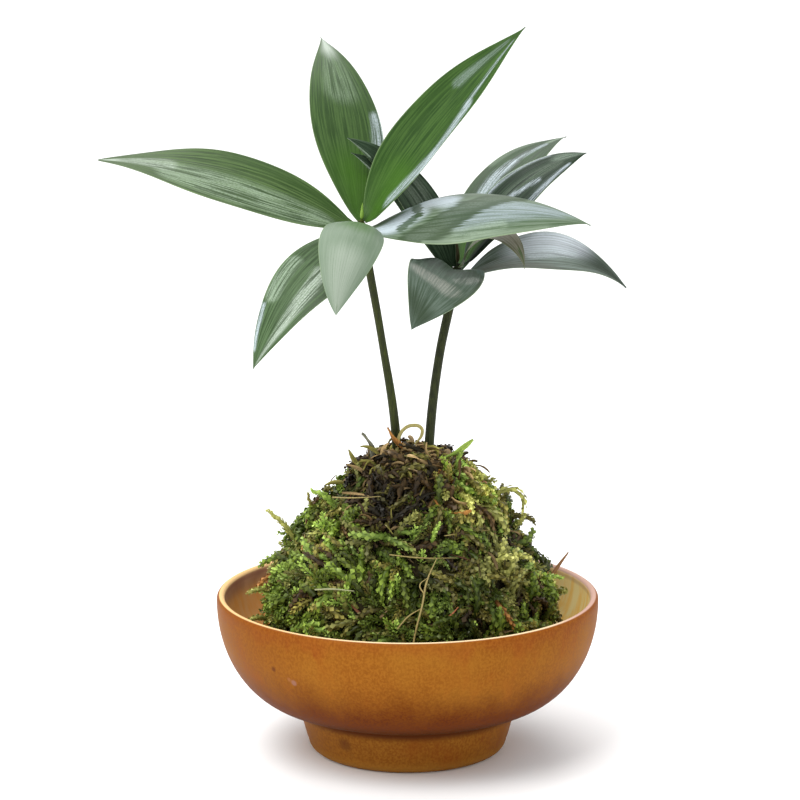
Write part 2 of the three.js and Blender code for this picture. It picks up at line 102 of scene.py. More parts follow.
def bowl_rings():
    """Radius and height of each ring, and how far it lies inside the bowl, from 0 to 1."""
    rings = [(FOOT_RADIUS - FOOT_EDGE, 0, 0)]
    edge_steps = 8
    for step in range(1, edge_steps + 1):
        turn = step / edge_steps * math.pi / 2
        radius = FOOT_RADIUS - FOOT_EDGE * (1 - math.sin(turn))
        rings.append((radius, FOOT_EDGE * (1 - math.cos(turn)), 0))
    rings += [(radius * MM, height * MM, 0) for radius, height in FOOT_PROFILE]
    body_top = BOWL_HEIGHT - LIP_DEPTH
    body_steps = 28
    for step in range(body_steps + 1):
        turn = step / body_steps * math.pi / 2
        radius = SEAM_RADIUS + (BOWL_RADIUS - SEAM_RADIUS) * math.sin(turn)
        rings.append((radius, body_top - (body_top - FOOT_TOP) * math.cos(turn), 0))
    lip = BOWL_WALL / 2
    lip_steps = 12
    for step in range(1, lip_steps):
        turn = step / lip_steps * math.pi
        radius = BOWL_RADIUS - lip + lip * math.cos(turn)
        rings.append((radius, BOWL_HEIGHT - lip + lip * math.sin(turn), step / lip_steps))
    inside_steps = 30
    for step in range(inside_steps):
        radius = INSIDE_RADIUS * math.cos(step / inside_steps * math.pi / 2)
        if inside_height(radius) < BOWL_HEIGHT - lip:
            rings.append((radius, inside_height(radius), 1))
    return rings


def deselect_all():
    bpy.ops.object.select_all(action="DESELECT")


def make_bowl():
    rings = bowl_rings()
    deselect_all()
    bpy.ops.mesh.primitive_circle_add(vertices=BOWL_SIDES, radius=rings[0][0], fill_type="TRIFAN")
    piece = bpy.context.object
    piece.name = "glazed_bowl"
    inside = [0] * (BOWL_SIDES + 1)
    bpy.ops.object.mode_set(mode="EDIT")
    bpy.ops.mesh.select_all(action="SELECT")
    bpy.ops.mesh.region_to_loop()
    for (radius, height, _), (next_radius, next_height, share) in zip(rings, rings[1:]):
        bpy.ops.mesh.extrude_region_move(TRANSFORM_OT_translate={"value": (0, 0, next_height - height)})
        factor = next_radius / radius
        bpy.ops.transform.resize(value=(factor, factor, 1), center_override=(0, 0, 0))
        inside += [share] * BOWL_SIDES
    bpy.ops.mesh.edge_face_add()
    bpy.ops.mesh.poke()
    inside.append(1)
    bpy.ops.mesh.select_all(action="SELECT")
    bpy.ops.mesh.normals_make_consistent(inside=False)
    bpy.ops.object.mode_set(mode="OBJECT")
    bpy.ops.object.shade_smooth_by_angle(angle=math.radians(50))
    attribute = piece.data.attributes.new("inside", "FLOAT", "POINT")
    attribute.data.foreach_set("value", inside)
    return piece


def colour(red, green, blue):
    """A colour given in display values from 0 to 255, as the linear colour that a shader takes."""
    def linear(value):
        value /= 255
        return value / 12.92 if value <= 0.04045 else ((value + 0.055) / 1.055) ** 2.4
    return (linear(red), linear(green), linear(blue), 1)


def new_material(name, **shader_values):
    """A material with one Principled shader, whose own sockets get these values."""
    material = bpy.data.materials.new(name)
    material.use_nodes = True
    shader = material.node_tree.nodes["Principled BSDF"]
    for socket, value in shader_values.items():
        shader.inputs[socket.replace("_", " ")].default_value = value
    return material


def add_node(material, kind, sockets, **settings):
    """A node with its settings and sockets. A socket takes a plain value or another node's output."""
    node = material.node_tree.nodes.new("ShaderNode" + kind)
    for name, value in settings.items():
        setattr(node, name, value)
    for name, value in sockets.items():
        if isinstance(value, bpy.types.NodeSocket):
            material.node_tree.links.new(value, node.inputs[name])
        else:
            node.inputs[name].default_value = value
    return node


def object_place(material):
    """Where each point of the piece is, in metres."""
    return add_node(material, "TexCoord", {}).outputs["Object"]


def to_shader(material, socket, value):
    shader = material.node_tree.nodes["Principled BSDF"]
    material.node_tree.links.new(value, shader.inputs[socket])


def mix(material, share, first, second, blend="MIX"):
    """Two colours mixed by a share."""
    node = add_node(material, "Mix", {0: share, 6: first, 7: second}, data_type="RGBA", blend_type=blend)
    return node.outputs[2]


def spread(material, value, low, high, to_low=0.0, to_high=1.0):
    """A value mapped from one range to another and kept inside it, with soft ends."""
    sockets = {"Value": value, "From Min": low, "From Max": high, "To Min": to_low, "To Max": to_high}
    return add_node(material, "MapRange", sockets, interpolation_type="SMOOTHSTEP").outputs["Result"]


def tinge(material, tone, tint, value, low, high, strength=1.0):
    """A tone that turns to a tint, by up to this strength, where a value goes from low to high."""
    return mix(material, spread(material, value, low, high, 0, strength), tone, tint)


def calculate(material, operation, *values):
    return add_node(material, "Math", dict(enumerate(values)), operation=operation).outputs[0]


def product(material, first, second):
    return calculate(material, "MULTIPLY", first, second)


def distance(material, first, second):
    sockets = {0: first, 1: second}
    return add_node(material, "VectorMath", sockets, operation="DISTANCE").outputs["Value"]


def stretched(material, coordinates, scale):
    """Coordinates scaled by different amounts along X, Y and Z."""
    return add_node(material, "Mapping", {"Vector": coordinates, "Scale": scale}).outputs[0]


def grain(material, coordinates, scale, detail=3.0, roughness=0.5):
    """Noise from 0 to 1."""
    sockets = {"Vector": coordinates, "Scale": scale, "Detail": detail, "Roughness": roughness}
    return add_node(material, "TexNoise", sockets).outputs["Fac"]


def bump(material, height, distance, strength=1.0):
    node = add_node(material, "Bump", {"Height": height, "Distance": distance, "Strength": strength})
    to_shader(material, "Normal", node.outputs[0])


def band(material, value, low, high, blur):
    """1 where a value lies between two others, falling softly to 0 outside them."""
    above = spread(material, value, low - blur, low + blur)
    below = spread(material, value, high + blur, high - blur)
    return product(material, above, below)


def spot(material, coordinates, centre, radius):
    """1 at a point on the surface, falling to 0 at a distance from it."""
    return spread(material, distance(material, coordinates, centre), radius, radius * 0.35)


# Marks in the glaze: centre and radius in millimetres, strength and colour
GLAZE_MARKS = (
    ((-43.7, -45.8, 40.4), 1.3, 0.75, (84, 40, 14)),
    ((-44.2, -45.6, 43.0), 1.0, 0.5, (110, 56, 20)),
    ((-37.1, -50.3, 37.0), 1.5, 0.8, (142, 100, 84)),
    ((-38.6, -49.4, 37.9), 1.1, 0.5, (150, 96, 60)),
    ((-30.0, -57.1, 48.4), 0.9, 0.6, (120, 54, 14)),
    ((-21.6, -29.7, 8.9), 3.6, 0.6, (84, 44, 18)),
    ((-19.4, -30.6, 5.4), 2.0, 0.5, (92, 54, 24)),
    ((1.5, -38.0, 15.6), 0.5, 0.8, (70, 34, 14)),
    ((54.6, 24.0, 45.0), 0.9, 0.75, (128, 88, 30)),
    ((55.4, 22.0, 48.2), 0.6, 0.7, (140, 96, 36)),
    ((57.4, 19.5, 46.4), 0.8, 0.8, (110, 70, 24)),
)


def glaze():
    """Ochre satin glaze: finely mottled, redder under the lip, brown over the foot, pale on the lip, with
    painted shade low down and on the left, painted light inside and a painted highlight on the lip.
    """
    material = new_material("ochre_glaze", Specular_IOR_Level=0.05)
    place = object_place(material)
    split = add_node(material, "SeparateXYZ", {"Vector": place})
    right = split.outputs["X"]
    height = split.outputs["Z"]
    inside = add_node(material, "Attribute", {}, attribute_name="inside").outputs["Fac"]
    mottle = grain(material, stretched(material, place, (1, 1, 0.8)), 1250, 3, 0.6)
    speckle = grain(material, place, 2100, 2, 0.6)
    drift = grain(material, stretched(material, place, (1, 1, 0.55)), 85, 3, 0.6)
    cloud = grain(material, place, 26, 2, 0.5)

    # Outside, from the lip down
    ochre = tinge(material, colour(130, 75, 16), colour(146, 90, 25), mottle, 0.34, 0.66)
    ochre = tinge(material, ochre, colour(126, 62, 12), speckle, 0.55, 0.75, 0.45)
    ochre = tinge(material, ochre, colour(142, 70, 14), drift, 0.5, 0.75, 0.45)
    ochre = tinge(material, ochre, colour(158, 108, 34), cloud, 0.45, 0.7, 0.4)
    # The lower body is darker and browner: partly the glaze's own colour, partly painted shade where less
    # light reaches it.
    low_brown_and_shade = tinge(material, colour(84, 34, 0), colour(102, 48, 2), mottle, 0.35, 0.65)
    wander = calculate(material, "MULTIPLY_ADD", drift, 14 * MM, height)
    body = tinge(material, ochre, low_brown_and_shade, wander, 48 * MM, 29 * MM)
    # Painted shade, darkest on the underside of the body where it curves in over the foot
    body = tinge(material, body, colour(62, 28, 0), height, 23 * MM, 17 * MM, 0.85)
    rusty = tinge(material, colour(122, 54, 14), colour(138, 70, 22), mottle, 0.35, 0.65)
    body = tinge(material, body, rusty, wander, 54 * MM, 60 * MM, 0.45)

    # Foot, with a paler ledge where the body starts and painted shadow on its top, under the overhanging body
    foot_tone = tinge(material, colour(124, 72, 18), colour(142, 90, 28), mottle, 0.35, 0.65)
    foot_tone = tinge(material, foot_tone, colour(124, 62, 14), drift, 0.5, 0.72, 0.5)
    foot_tone = tinge(material, foot_tone, colour(156, 108, 42), height, 5 * MM, 1 * MM, 0.6)
    # Painted shadow under the overhanging body
    foot_tone = tinge(material, foot_tone, colour(78, 36, 8), height, 11.5 * MM, 14.6 * MM)
    body = tinge(material, body, foot_tone, height, 16.1 * MM, 15.7 * MM)
    ledge = band(material, height, 15.6 * MM, 16.2 * MM, 0.15 * MM)
    body = mix(material, product(material, ledge, 0.55), body, colour(190, 124, 52))

    # Painted shade: the left side is painted a little browner than the right
    body = tinge(material, body, colour(104, 52, 4), right, -15 * MM, -62 * MM, 0.3)

    # Inside, where the glaze is paler and has run in drips. It is painted paler still, as painted light where
    # the moss ball shades it.
    drip = grain(material, stretched(material, place, (1, 1, 0.12)), 330, 3, 0.6)
    wall = tinge(material, colour(255, 230, 162), colour(255, 206, 112), drip, 0.38, 0.7)
    wall = tinge(material, wall, colour(255, 216, 140), drift, 0.45, 0.7, 0.5)
    # Painted shade: the inside is darker to the left, where its wall faces away from the light.
    to_left = spread(material, right, 10 * MM, -40 * MM)
    wall = mix(material, product(material, to_left, 0.7), wall, colour(226, 138, 72))
    plum = tinge(material, colour(164, 114, 96), colour(196, 148, 120), drift, 0.35, 0.65)
    plum_left = product(material, spread(material, height, 46 * MM, 51.5 * MM), to_left)
    wall = mix(material, product(material, plum_left, 0.85), wall, plum)
    plum_line = band(material, height, 51.8 * MM, 53.2 * MM, 0.5 * MM)
    wall = mix(material, product(material, plum_line, 0.45), wall, colour(150, 96, 80))
    tone = tinge(material, body, wall, inside, 0.45, 0.7)

    # Lip, cream on the front and left and plum pink behind and on the right. The glaze breaks pale over it,
    # and the cream on the front and left is partly a painted highlight.
    cream = tinge(material, colour(240, 214, 172), colour(228, 186, 128), right, 0, -60 * MM)
    behind = calculate(material, "MULTIPLY_ADD", split.outputs["Y"], 0.6, right)
    lip_tone = tinge(material, cream, colour(196, 158, 142), behind, 12 * MM, 42 * MM)
    low_edge = spread(material, inside, 0.3, 0.42)
    high_edge = spread(material, inside, 0.95, 0.82)
    tone = mix(material, product(material, low_edge, high_edge), tone, lip_tone)

    for centre, radius, strength, tint in GLAZE_MARKS:
        mark = spot(material, place, tuple(value * MM for value in centre), radius * MM)
        tone = mix(material, product(material, mark, strength), tone, colour(*tint))
    to_shader(material, "Base Color", tone)
    to_shader(material, "Roughness", spread(material, mottle, 0.3, 0.7, 0.46, 0.58))
    bump(material, mottle, 0.05 * MM, 0.35)
    return material


bowl = make_bowl()
bowl.data.materials.append(glaze())
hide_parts("bowl")
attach(bowl, "root")


# Soil ball
# The ball of dark, moist soil that the moss is wrapped round. It shows only where the moss is thin.

def earth():
    material = new_material("moist_soil", Roughness=0.9, Specular_IOR_Level=0.2)
    place = object_place(material)
    crumbs = grain(material, place, 600, 4, 0.65)
    to_shader(material, "Base Color", mix(material, crumbs, colour(22, 16, 11), colour(62, 44, 30)))
    bump(material, crumbs, 0.6 * MM)
    return material


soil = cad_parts["soil_ball"]
soil.data.materials.clear()
soil.data.materials.append(earth())


# Moss mat
# The old, packed moss on the ball: a dark, lumpy mat that the living shoots grow from. Its near-black colour
# is partly painted shade, the shade in the gaps between the shoots. It is a sphere drawn to the outline of
# the ball, wider on the right near the top, and roughened with crumbs.

MAT_HEIGHTS = np.array([14.5, 17, 22, 30, 40, 50, 58.5, 69, 80, 87, 95.5, 99.5, 101.5, 102.5]) * MM
MAT_RADII = np.array([0, 22, 32, 40.5, 45, 46.3, 44.2, 39.2, 32.6, 27.2, 19, 12.5, 6.5, 0]) * MM
MAT_LEAN = np.array([0, 0, 0, 0, 0.5, 1.5, 0.8, 0, 1, 3, 1.8, 1, 0, 0]) * MM
MAT_LUMPS = 1.6 * MM
MAT_SUNK = 0.9


def outline_share():
    """Shares of the length of the mat's outline, from the bottom, at which its heights are given."""
    steps = np.hypot(np.diff(MAT_HEIGHTS), np.diff(MAT_RADII))
    return np.concatenate([[0], np.cumsum(steps)]) / steps.sum()


def ramp(values, start, end):
    """0 before the start, 1 past the end, and an even slope between them."""
    return np.clip((values - start) / (end - start), 0, 1)


def mat_point(share, azimuth):
    """Points on the mat, without its crumbs, at shares of the outline and azimuths in radians."""
    height = np.interp(share, outline_share(), MAT_HEIGHTS)
    radius = np.interp(height, MAT_HEIGHTS, MAT_RADII)
    lumps = 0.6 * np.sin(3 * azimuth + 55 * height + 1) + 0.5 * np.sin(5 * azimuth - 90 * height)
    lumps += 0.4 * np.sin(8 * azimuth + 160 * height + 2)
    shown = ramp(height, 40 * MM, 55 * MM) * ramp(radius, 0, 25 * MM)
    radius = radius + MAT_LUMPS * lumps * shown
    lean = np.interp(height, MAT_HEIGHTS, MAT_LEAN)
    return np.stack([radius * np.cos(azimuth) + lean, radius * np.sin(azimuth), height], axis=-1)


def coordinates_of(piece):
    flat = np.empty(len(piece.data.vertices) * 3)
    piece.data.vertices.foreach_get("co", flat)
    return flat.reshape(-1, 3)


def make_mat():
    deselect_all()
    bpy.ops.mesh.primitive_uv_sphere_add(segments=144, ring_count=90, radius=1)
    piece = bpy.context.object
    piece.name = "moss_mat"
    ball = coordinates_of(piece)
    share = np.arccos(np.clip(-ball[:, 2], -1, 1)) / math.pi
    points = mat_point(share, np.arctan2(ball[:, 1], ball[:, 0]))
    # Coarse and fine crumbs, in millimetres, standing out from a point 50 mm up on the axis
    crumbs = np.array([
        noise.noise(Vector(point) * 150) * 1.5 + noise.noise(Vector(point) * 520) * 0.8 for point in points
    ])
    outward = points * (1, 1, 0.6) - (0, 0, 30 * MM)
    outward /= np.linalg.norm(outward, axis=1, keepdims=True)
    points = points + outward * ((crumbs - MAT_SUNK) * MM)[:, None]
    piece.data.vertices.foreach_set("co", points.ravel())
    piece.data.update()
    bpy.ops.object.shade_smooth()
    return piece


def mat_fibre():
    material = new_material("packed_moss_and_shade", Roughness=0.95, Specular_IOR_Level=0.15)
    place = object_place(material)
    fibre = grain(material, place, 500, 4, 0.7)
    # Near black: partly the old moss's colour, partly painted shade of the gaps between the shoots
    to_shader(material, "Base Color", mix(material, fibre, colour(12, 10, 5), colour(52, 46, 25)))
    bump(material, fibre, 0.8 * MM)
    return material


mat = make_mat()
mat.data.materials.append(mat_fibre())
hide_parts("moss_coat")
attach(mat, "root")


# Living moss
# Thousands of short shoots cover the mat: thick, worm-like shoots in close scales, and tufts of round
# leaves. Each kind of shoot is modelled once, and its copies are bent along arcs of their own.

GOLDEN_ANGLE = math.pi * (3 - math.sqrt(5))
chance = np.random.default_rng(31)


def shoot_body(radius, sides, rings, taper):
    """Points (across, over, along) and faces of a shoot's stem whose length is 1, closed at the end."""
    points = []
    for ring in range(rings):
        along = ring / (rings - 1)
        size = radius * (1 - taper * along ** 4)
        for corner in range(sides):
            angle = corner / sides * 2 * math.pi
            points.append((size * math.cos(angle), size * math.sin(angle), along))
    faces = []
    for ring in range(rings - 1):
        for corner in range(sides):
            first = ring * sides + corner
            second = ring * sides + (corner + 1) % sides
            faces.append((first, second, second + sides, first + sides))
    end = (rings - 1) * sides
    for corner in range(1, sides - 2, 2):
        faces.append((end, end + corner, end + corner + 1, end + corner + 2))
    # The stem is dark and darker towards its foot: painted shade inside the shoot.
    return points, faces, [0.15 + 0.3 * point[2] for point in points]


# Outline of a leaf or scale: how far out along it, half width and lift of each of its points
SCALE = ((0, 0, 0), (0.6, 0.5, 0.12), (1, 0, 0.02), (0.6, -0.5, 0.12))
ROUND_LEAF = (
    (0, 0, 0), (0.4, 0.5, 0.14), (0.85, 0.42, 0.1), (1, 0, 0.02), (0.85, -0.42, 0.1), (0.4, -0.5, 0.14),
)


def make_shoot(length, body, leaves, leaf_length, leaf_width, angles, outline, taper):
    """A shoot in millimetres: its points, faces and tones from 0 to 1.

    body is the radius, sides and rings of its stem. The leaves are largest near the middle, and their
    angles from the stem go from the first one at its foot to the second at its tip.
    """
    radius = body[0]
    points, faces, tones = shoot_body(*body, taper)
    for leaf in range(leaves):
        along = (leaf + 0.5) / leaves
        turn = leaf * GOLDEN_ANGLE
        tilt = math.radians(angles[0] + (angles[1] - angles[0]) * along)
        size = 1 - 0.55 * taper * abs(2 * along - 0.9) ** 1.5
        outward = np.array([math.cos(turn), math.sin(turn), 0])
        sideways = np.array([-math.sin(turn), math.cos(turn), 0])
        upward = np.array([0, 0, 1])
        ahead = outward * math.sin(tilt) + upward * math.cos(tilt)
        above = outward * math.cos(tilt) - upward * math.sin(tilt)
        base = outward * radius * 0.85 * (1 - taper * along ** 4)
        first = len(points)
        for reach, half, lift in outline:
            offset = base + ahead * reach * leaf_length * size
            offset = offset + sideways * half * leaf_width * size + above * lift * leaf_length * size
            points.append((offset[0], offset[1], along + offset[2] / length))
            # Lighter towards the shoot's young tip and each leaf's tip: partly real, partly painted shade at
            # its foot and at the leaf bases.
            tones.append((0.25 + 0.75 * min(1, 2 * along)) * (0.5 + 0.5 * reach))
        for corner in range(1, len(outline) - 2, 2):
            faces.append((first, first + corner, first + corner + 1, first + corner + 2))
    return np.array(points), np.array(faces), np.array(tones)


def unit(vectors):
    return vectors / np.linalg.norm(vectors, axis=-1, keepdims=True)


def plant(shoot, roots, forwards, bends, lengths, widths, curls, rolls):
    """Copies of a shoot, each bent along its own arc: the points and faces of them all."""
    points, faces, _ = shoot
    bends = unit(bends - forwards * np.sum(bends * forwards, axis=1, keepdims=True))
    sides = np.cross(forwards, bends)
    across = points[:, 0] * np.cos(rolls)[:, None] - points[:, 1] * np.sin(rolls)[:, None]
    over = points[:, 0] * np.sin(rolls)[:, None] + points[:, 1] * np.cos(rolls)[:, None]
    turn = curls[:, None] * points[:, 2]
    ahead = (np.sin(turn) / curls[:, None] * lengths[:, None])[..., None]
    aside = ((1 - np.cos(turn)) / curls[:, None] * lengths[:, None])[..., None]
    placed = roots[:, None] + ahead * forwards[:, None] + aside * bends[:, None]
    level = np.cos(turn)[..., None] * bends[:, None] - np.sin(turn)[..., None] * forwards[:, None]
    placed = placed + (across * widths[:, None])[..., None] * sides[:, None]
    placed = placed + (over * widths[:, None])[..., None] * level
    starts = np.arange(len(roots)) * len(points)
    return placed.reshape(-1, 3), (faces[None] + starts[:, None, None]).reshape(-1, 4)


def keep_in_bowl(points):
    """Points moved in where they would reach the bowl's inside."""
    inside = inside_radius(points[:, 2]) - 0.6 * MM
    below_lip = points[:, 2] < BOWL_HEIGHT
    radius = np.hypot(points[:, 0], points[:, 1])
    factor = np.where(below_lip & (radius > inside), inside / np.maximum(radius, MM), 1)
    points[:, 0] *= factor
    points[:, 1] *= factor
    return points


def new_piece(name, points, faces, tints):
    """A piece with these points and four-sided faces, and a colour for each point."""
    mesh = bpy.data.meshes.new(name)
    mesh.vertices.add(len(points))
    mesh.vertices.foreach_set("co", points.ravel())
    mesh.loops.add(faces.size)
    mesh.loops.foreach_set("vertex_index", faces.ravel())
    mesh.polygons.add(len(faces))
    mesh.polygons.foreach_set("loop_start", np.arange(len(faces)) * faces.shape[1])
    layer = mesh.color_attributes.new("tint", "FLOAT_COLOR", "POINT")
    layer.data.foreach_set("color", np.hstack([tints, np.ones((len(tints), 1))]).ravel())
    mesh.update(calc_edges=True)
    mesh.validate()
    piece = bpy.data.objects.new(name, mesh)
    bpy.context.collection.objects.link(piece)
    return piece


# Each kind of moss has a dark tone, deep in the shoot, and a light tone, at its leaf tips. The dark tone is
# partly painted shade, deep among the leaves and shoots.
MOSS_TONES = {
    "deep": ((30, 36, 12), (108, 122, 44)),
    "green": ((44, 60, 14), (144, 168, 62)),
    "bright": ((66, 94, 20), (176, 202, 96)),
    "olive": ((58, 54, 20), (156, 148, 72)),
    "yellow": ((84, 86, 26), (192, 192, 108)),
    "orange": ((98, 58, 22), (192, 136, 70)),
    "tan": ((84, 64, 36), (198, 168, 116)),
    "brown": ((34, 24, 13), (100, 78, 44)),
    "dark": ((18, 14, 7), (58, 50, 28)),
    "grey": ((48, 48, 40), (132, 130, 108)),
    "rust": ((58, 34, 24), (132, 84, 60)),
}


# Fewer shoots grow low on the ball, where the bowl hides it.
HIDDEN_BELOW = 42 * MM
HIDDEN_SHARE = 0.4


def scatter(count, lowest, highest):
    """Seeded places spread evenly over the mat between two heights, with the direction out of the mat."""
    fine = np.linspace(0, 1, 400)
    heights = np.interp(fine, outline_share(), MAT_HEIGHTS)
    radii = np.interp(heights, MAT_HEIGHTS, MAT_RADII)
    wanted = radii * ((heights >= lowest) & (heights <= highest))
    total = np.cumsum(wanted * np.where(heights < HIDDEN_BELOW, HIDDEN_SHARE, 1))
    picks = (np.arange(count) + chance.random(count)) / count * total[-1]
    share = np.interp(picks, total, fine)
    azimuth = np.arange(count) * GOLDEN_ANGLE + chance.normal(0, 0.12, count)
    places = mat_point(share, azimuth)
    beside = mat_point(share, azimuth + 0.01) - places
    higher = mat_point(np.minimum(share + 0.004, 1), azimuth)
    lower = mat_point(np.maximum(share - 0.004, 0), azimuth)
    return places, unit(np.cross(beside, higher - lower))


def patches(places, size, shift):
    """Smooth noise, mostly from -1 to 1, at each place, in patches of about this size."""
    return np.array([noise.noise(Vector(place) / size + Vector((shift, 0, 0))) for place in places]) * 2


def ragged_patches(places, size, shift, roughness):
    """Patches whose edges are broken up at random."""
    return patches(places, size, shift) + roughness * chance.normal(0, 1, len(places))


# The dead moss covers the top of the ball and hangs down its front, round a middle left of the axis.
DEAD_HEIGHT = 98 * MM
DEAD_DEPTH = 12 * MM
DEAD_HANG = 18 * MM
DEAD_HALF_WIDTH = 19 * MM
DEAD_MIDDLE = -3 * MM
DEAD_REACH = 1.7
DEAD_PATCH = 9 * MM
DEAD_RAGGEDNESS = 0.22


def deadness(places):
    """How far each place lies in the dead moss on top, above 1 within it. It reaches down the front."""
    above = places[:, 2] - DEAD_HEIGHT
    front = DEAD_REACH - np.hypot((places[:, 0] - DEAD_MIDDLE) / DEAD_HALF_WIDTH, above / DEAD_HANG)
    top = 1 + above / DEAD_DEPTH
    ragged = DEAD_RAGGEDNESS * patches(places, DEAD_PATCH, 5)
    return np.where(places[:, 1] < 0, np.maximum(front, top), top) + ragged


# A few of the leaf tips, the points with tones above this, are painted pale as painted highlights, the glints
# of wet leaves.
GLINT_SHARE = 0.02
GLINT_TONE = 0.75
GLINT_GAIN = 1.6
GLINT_LIFT = 0.12


def shaded(kinds, tones, brightness):
    """The colour of every point of every shoot, from its kind, its points' tones and its brightness."""
    dark = np.array([colour(*MOSS_TONES[kind][0])[:3] for kind in kinds])
    light = np.array([colour(*MOSS_TONES[kind][1])[:3] for kind in kinds])
    tints = dark[:, None] + (light - dark)[:, None] * tones[None, :, None]
    tints = tints * brightness[:, None, None]
    # Painted highlights: a few bright leaf tips are painted paler still
    glints = (chance.random(tints.shape[:2]) < GLINT_SHARE) & (tones > GLINT_TONE)
    tints[glints] = tints[glints] * GLINT_GAIN + GLINT_LIFT
    return tints.reshape(-1, 3)


def moss_skin(name, smoothest, roughest):
    """Leaf skin in the colour painted on each point, with fine grain and an uneven gloss."""
    material = new_material(name, Specular_IOR_Level=0.2)
    tint = add_node(material, "Attribute", {}, attribute_name="tint").outputs["Color"]
    place = object_place(material)
    fine = grain(material, place, 1100, 2)
    grey_low = (0.8, 0.8, 0.8, 1)
    grey_high = (1.2, 1.2, 1.2, 1)
    varied = mix(material, 1.0, tint, mix(material, fine, grey_low, grey_high), "MULTIPLY")
    to_shader(material, "Base Color", varied)
    to_shader(material, "Roughness", spread(material, fine, 0.3, 0.7, smoothest, roughest))
    return material


def add_moss(name, shoot, kinds, arcs, brightness, moss):
    """One piece of shoots. arcs are their roots, forwards, bends, lengths, widths, curls and rolls."""
    skin, node, slot = moss
    points, faces = plant(shoot, *arcs)
    piece = new_piece(name, keep_in_bowl(points), faces, shaded(kinds, shoot[2], brightness))
    piece.data.materials.append(skin)
    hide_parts(node)
    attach(piece, "root")


def lightness(places):
    """Painted light high on the right, where shoots are painted pale as if lit through, and painted shade in
    the middle, which is darker. The dead moss below its top is darker too.
    """
    right = ramp(places[:, 0], 4 * MM, 16 * MM)
    high = ramp(places[:, 2], 86 * MM, 90 * MM)
    middle = np.exp(-((places[:, 0] - 16 * MM) / (26 * MM)) ** 2) * (1 - high)
    crown = ramp(deadness(places), 0.7, 1) * ramp(places[:, 2], 100 * MM, 96 * MM)
    return (0.84 + 1.25 * right * high - 0.38 * middle) * (1 - 0.5 * crown)


# Neighbours lie the same way, as if combed, and stray a little from it. All of them sag.
COMB_SIZE = 15 * MM
COMB_STRENGTH = 1.2
STRAY = 0.6
LEAN_RANGE = (0.5, 1.4)
BEND_INWARDS = 0.8
BEND_STRAY = 0.5
SAG = np.array([0, 0, 0.4])

# They stand out of the mat or sink into it in clumps. Those that stand out are painted lighter and those sunk
# in darker: painted light and shade.
CLUMP_SIZE = 8 * MM
CLUMP_RISE = 1.3 * MM
CLUMP_SINK = 0.6 * MM
CLUMP_DEEPEST = 0.8 * MM
CLUMP_PAINTED_LIGHT = 0.5
LIGHT_RANGE = (0.7, 1.25)
PLACED_LIGHT = 1.15


def grow(name, shoot, count, length, width, lie, curl, choose, heights, moss):
    """Scattered shoots, with the ranges of their lengths, widths and curls, and of their roots' heights.

    lie is how far they lean over: 0 is straight out and large is flat down.
    """
    places, out = scatter(count, heights[0] * MM, heights[1] * MM)
    kinds = choose(places)
    kept = np.array([kind is not None for kind in kinds])
    kinds = [kind for kind in kinds if kind is not None]
    places = places[kept]
    out = out[kept]
    count = len(places)
    combed = np.stack([patches(places, COMB_SIZE, shift) for shift in (31, 37, 41)], axis=1)
    loose = COMB_STRENGTH * combed - SAG + chance.normal(0, STRAY, (count, 3))
    flat = unit(loose - out * np.sum(loose * out, axis=1, keepdims=True))
    forwards = unit(out + lie * flat * chance.uniform(*LEAN_RANGE, (count, 1)))
    bends = flat - BEND_INWARDS * out - SAG + chance.normal(0, BEND_STRAY, (count, 3))
    clump = np.clip(patches(places, CLUMP_SIZE, 13), -1, 1)
    raised = np.maximum(CLUMP_RISE * clump - CLUMP_SINK, -CLUMP_DEEPEST)
    arcs = (
        places + out * raised[:, None],
        forwards,
        bends,
        chance.uniform(*length, count) * MM,
        chance.uniform(*width, count) * MM,
        chance.uniform(*curl, count),
        chance.uniform(0, 2 * math.pi, count),
    )
    # Painted light and shade: raised clumps lighter, sunk ones darker
    brightness = chance.uniform(*LIGHT_RANGE, count) * lightness(places) * (1 + CLUMP_PAINTED_LIGHT * clump)
    add_moss(name, shoot, kinds, arcs, brightness, moss)


def grow_at(name, shoot, rows, moss):
    """Shoots placed one by one. A row is a kind, root, forward and bend, then length, width and curl."""
    kinds, *columns = zip(*rows)
    roots, forwards, bends, lengths, widths, curls = (np.array(column, dtype=float) for column in columns)
    rolls = chance.uniform(0, 2 * math.pi, len(rows))
    arcs = (roots * MM, unit(forwards), bends, lengths * MM, widths * MM, curls, rolls)
    add_moss(name, shoot, kinds, arcs, np.full(len(rows), PLACED_LIGHT), moss)


def pick_kind(pick, **up_to):
    """The first kind whose running share is above a number picked from 0 to 1, or None."""
    for kind, share in up_to.items():
        if pick < share:
            return kind
    return None


# The skin of the living moss, the solid that it dresses and its material slot
LIVING = (moss_skin("moist_moss", 0.34, 0.55), "moss_coat", "green_moss")


# Round-leaved tufts
# Short upright shoots with small round, glossy leaves. They are bright in patches low on the ball.

def tuft_kind(places):
    """The kind of each tuft, or None where it is left out: in dead and dark places and on the right."""
    dead = deadness(places)
    fresh = ragged_patches(places, 12 * MM, 1, 0.3) + np.where(places[:, 0] < 8 * MM, 0.1, -0.12)
    thick = ragged_patches(places, 5 * MM, 9, 0.25)
    pick = chance.random(len(places))
    kinds = []
    for i in range(len(places)):
        thinned = places[i][0] > 10 * MM and pick[i] < 0.5
        if dead[i] > 0.8 or thick[i] < -0.8 or thinned:
            kinds.append(None)
        elif fresh[i] > 0.32:
            kinds.append(pick_kind(pick[i], bright=0.75, yellow=1))
        elif fresh[i] > -0.1:
            kinds.append(pick_kind(pick[i], green=0.75, olive=1))
        else:
            kinds.append(pick_kind(pick[i], deep=0.7, olive=1))
    return kinds


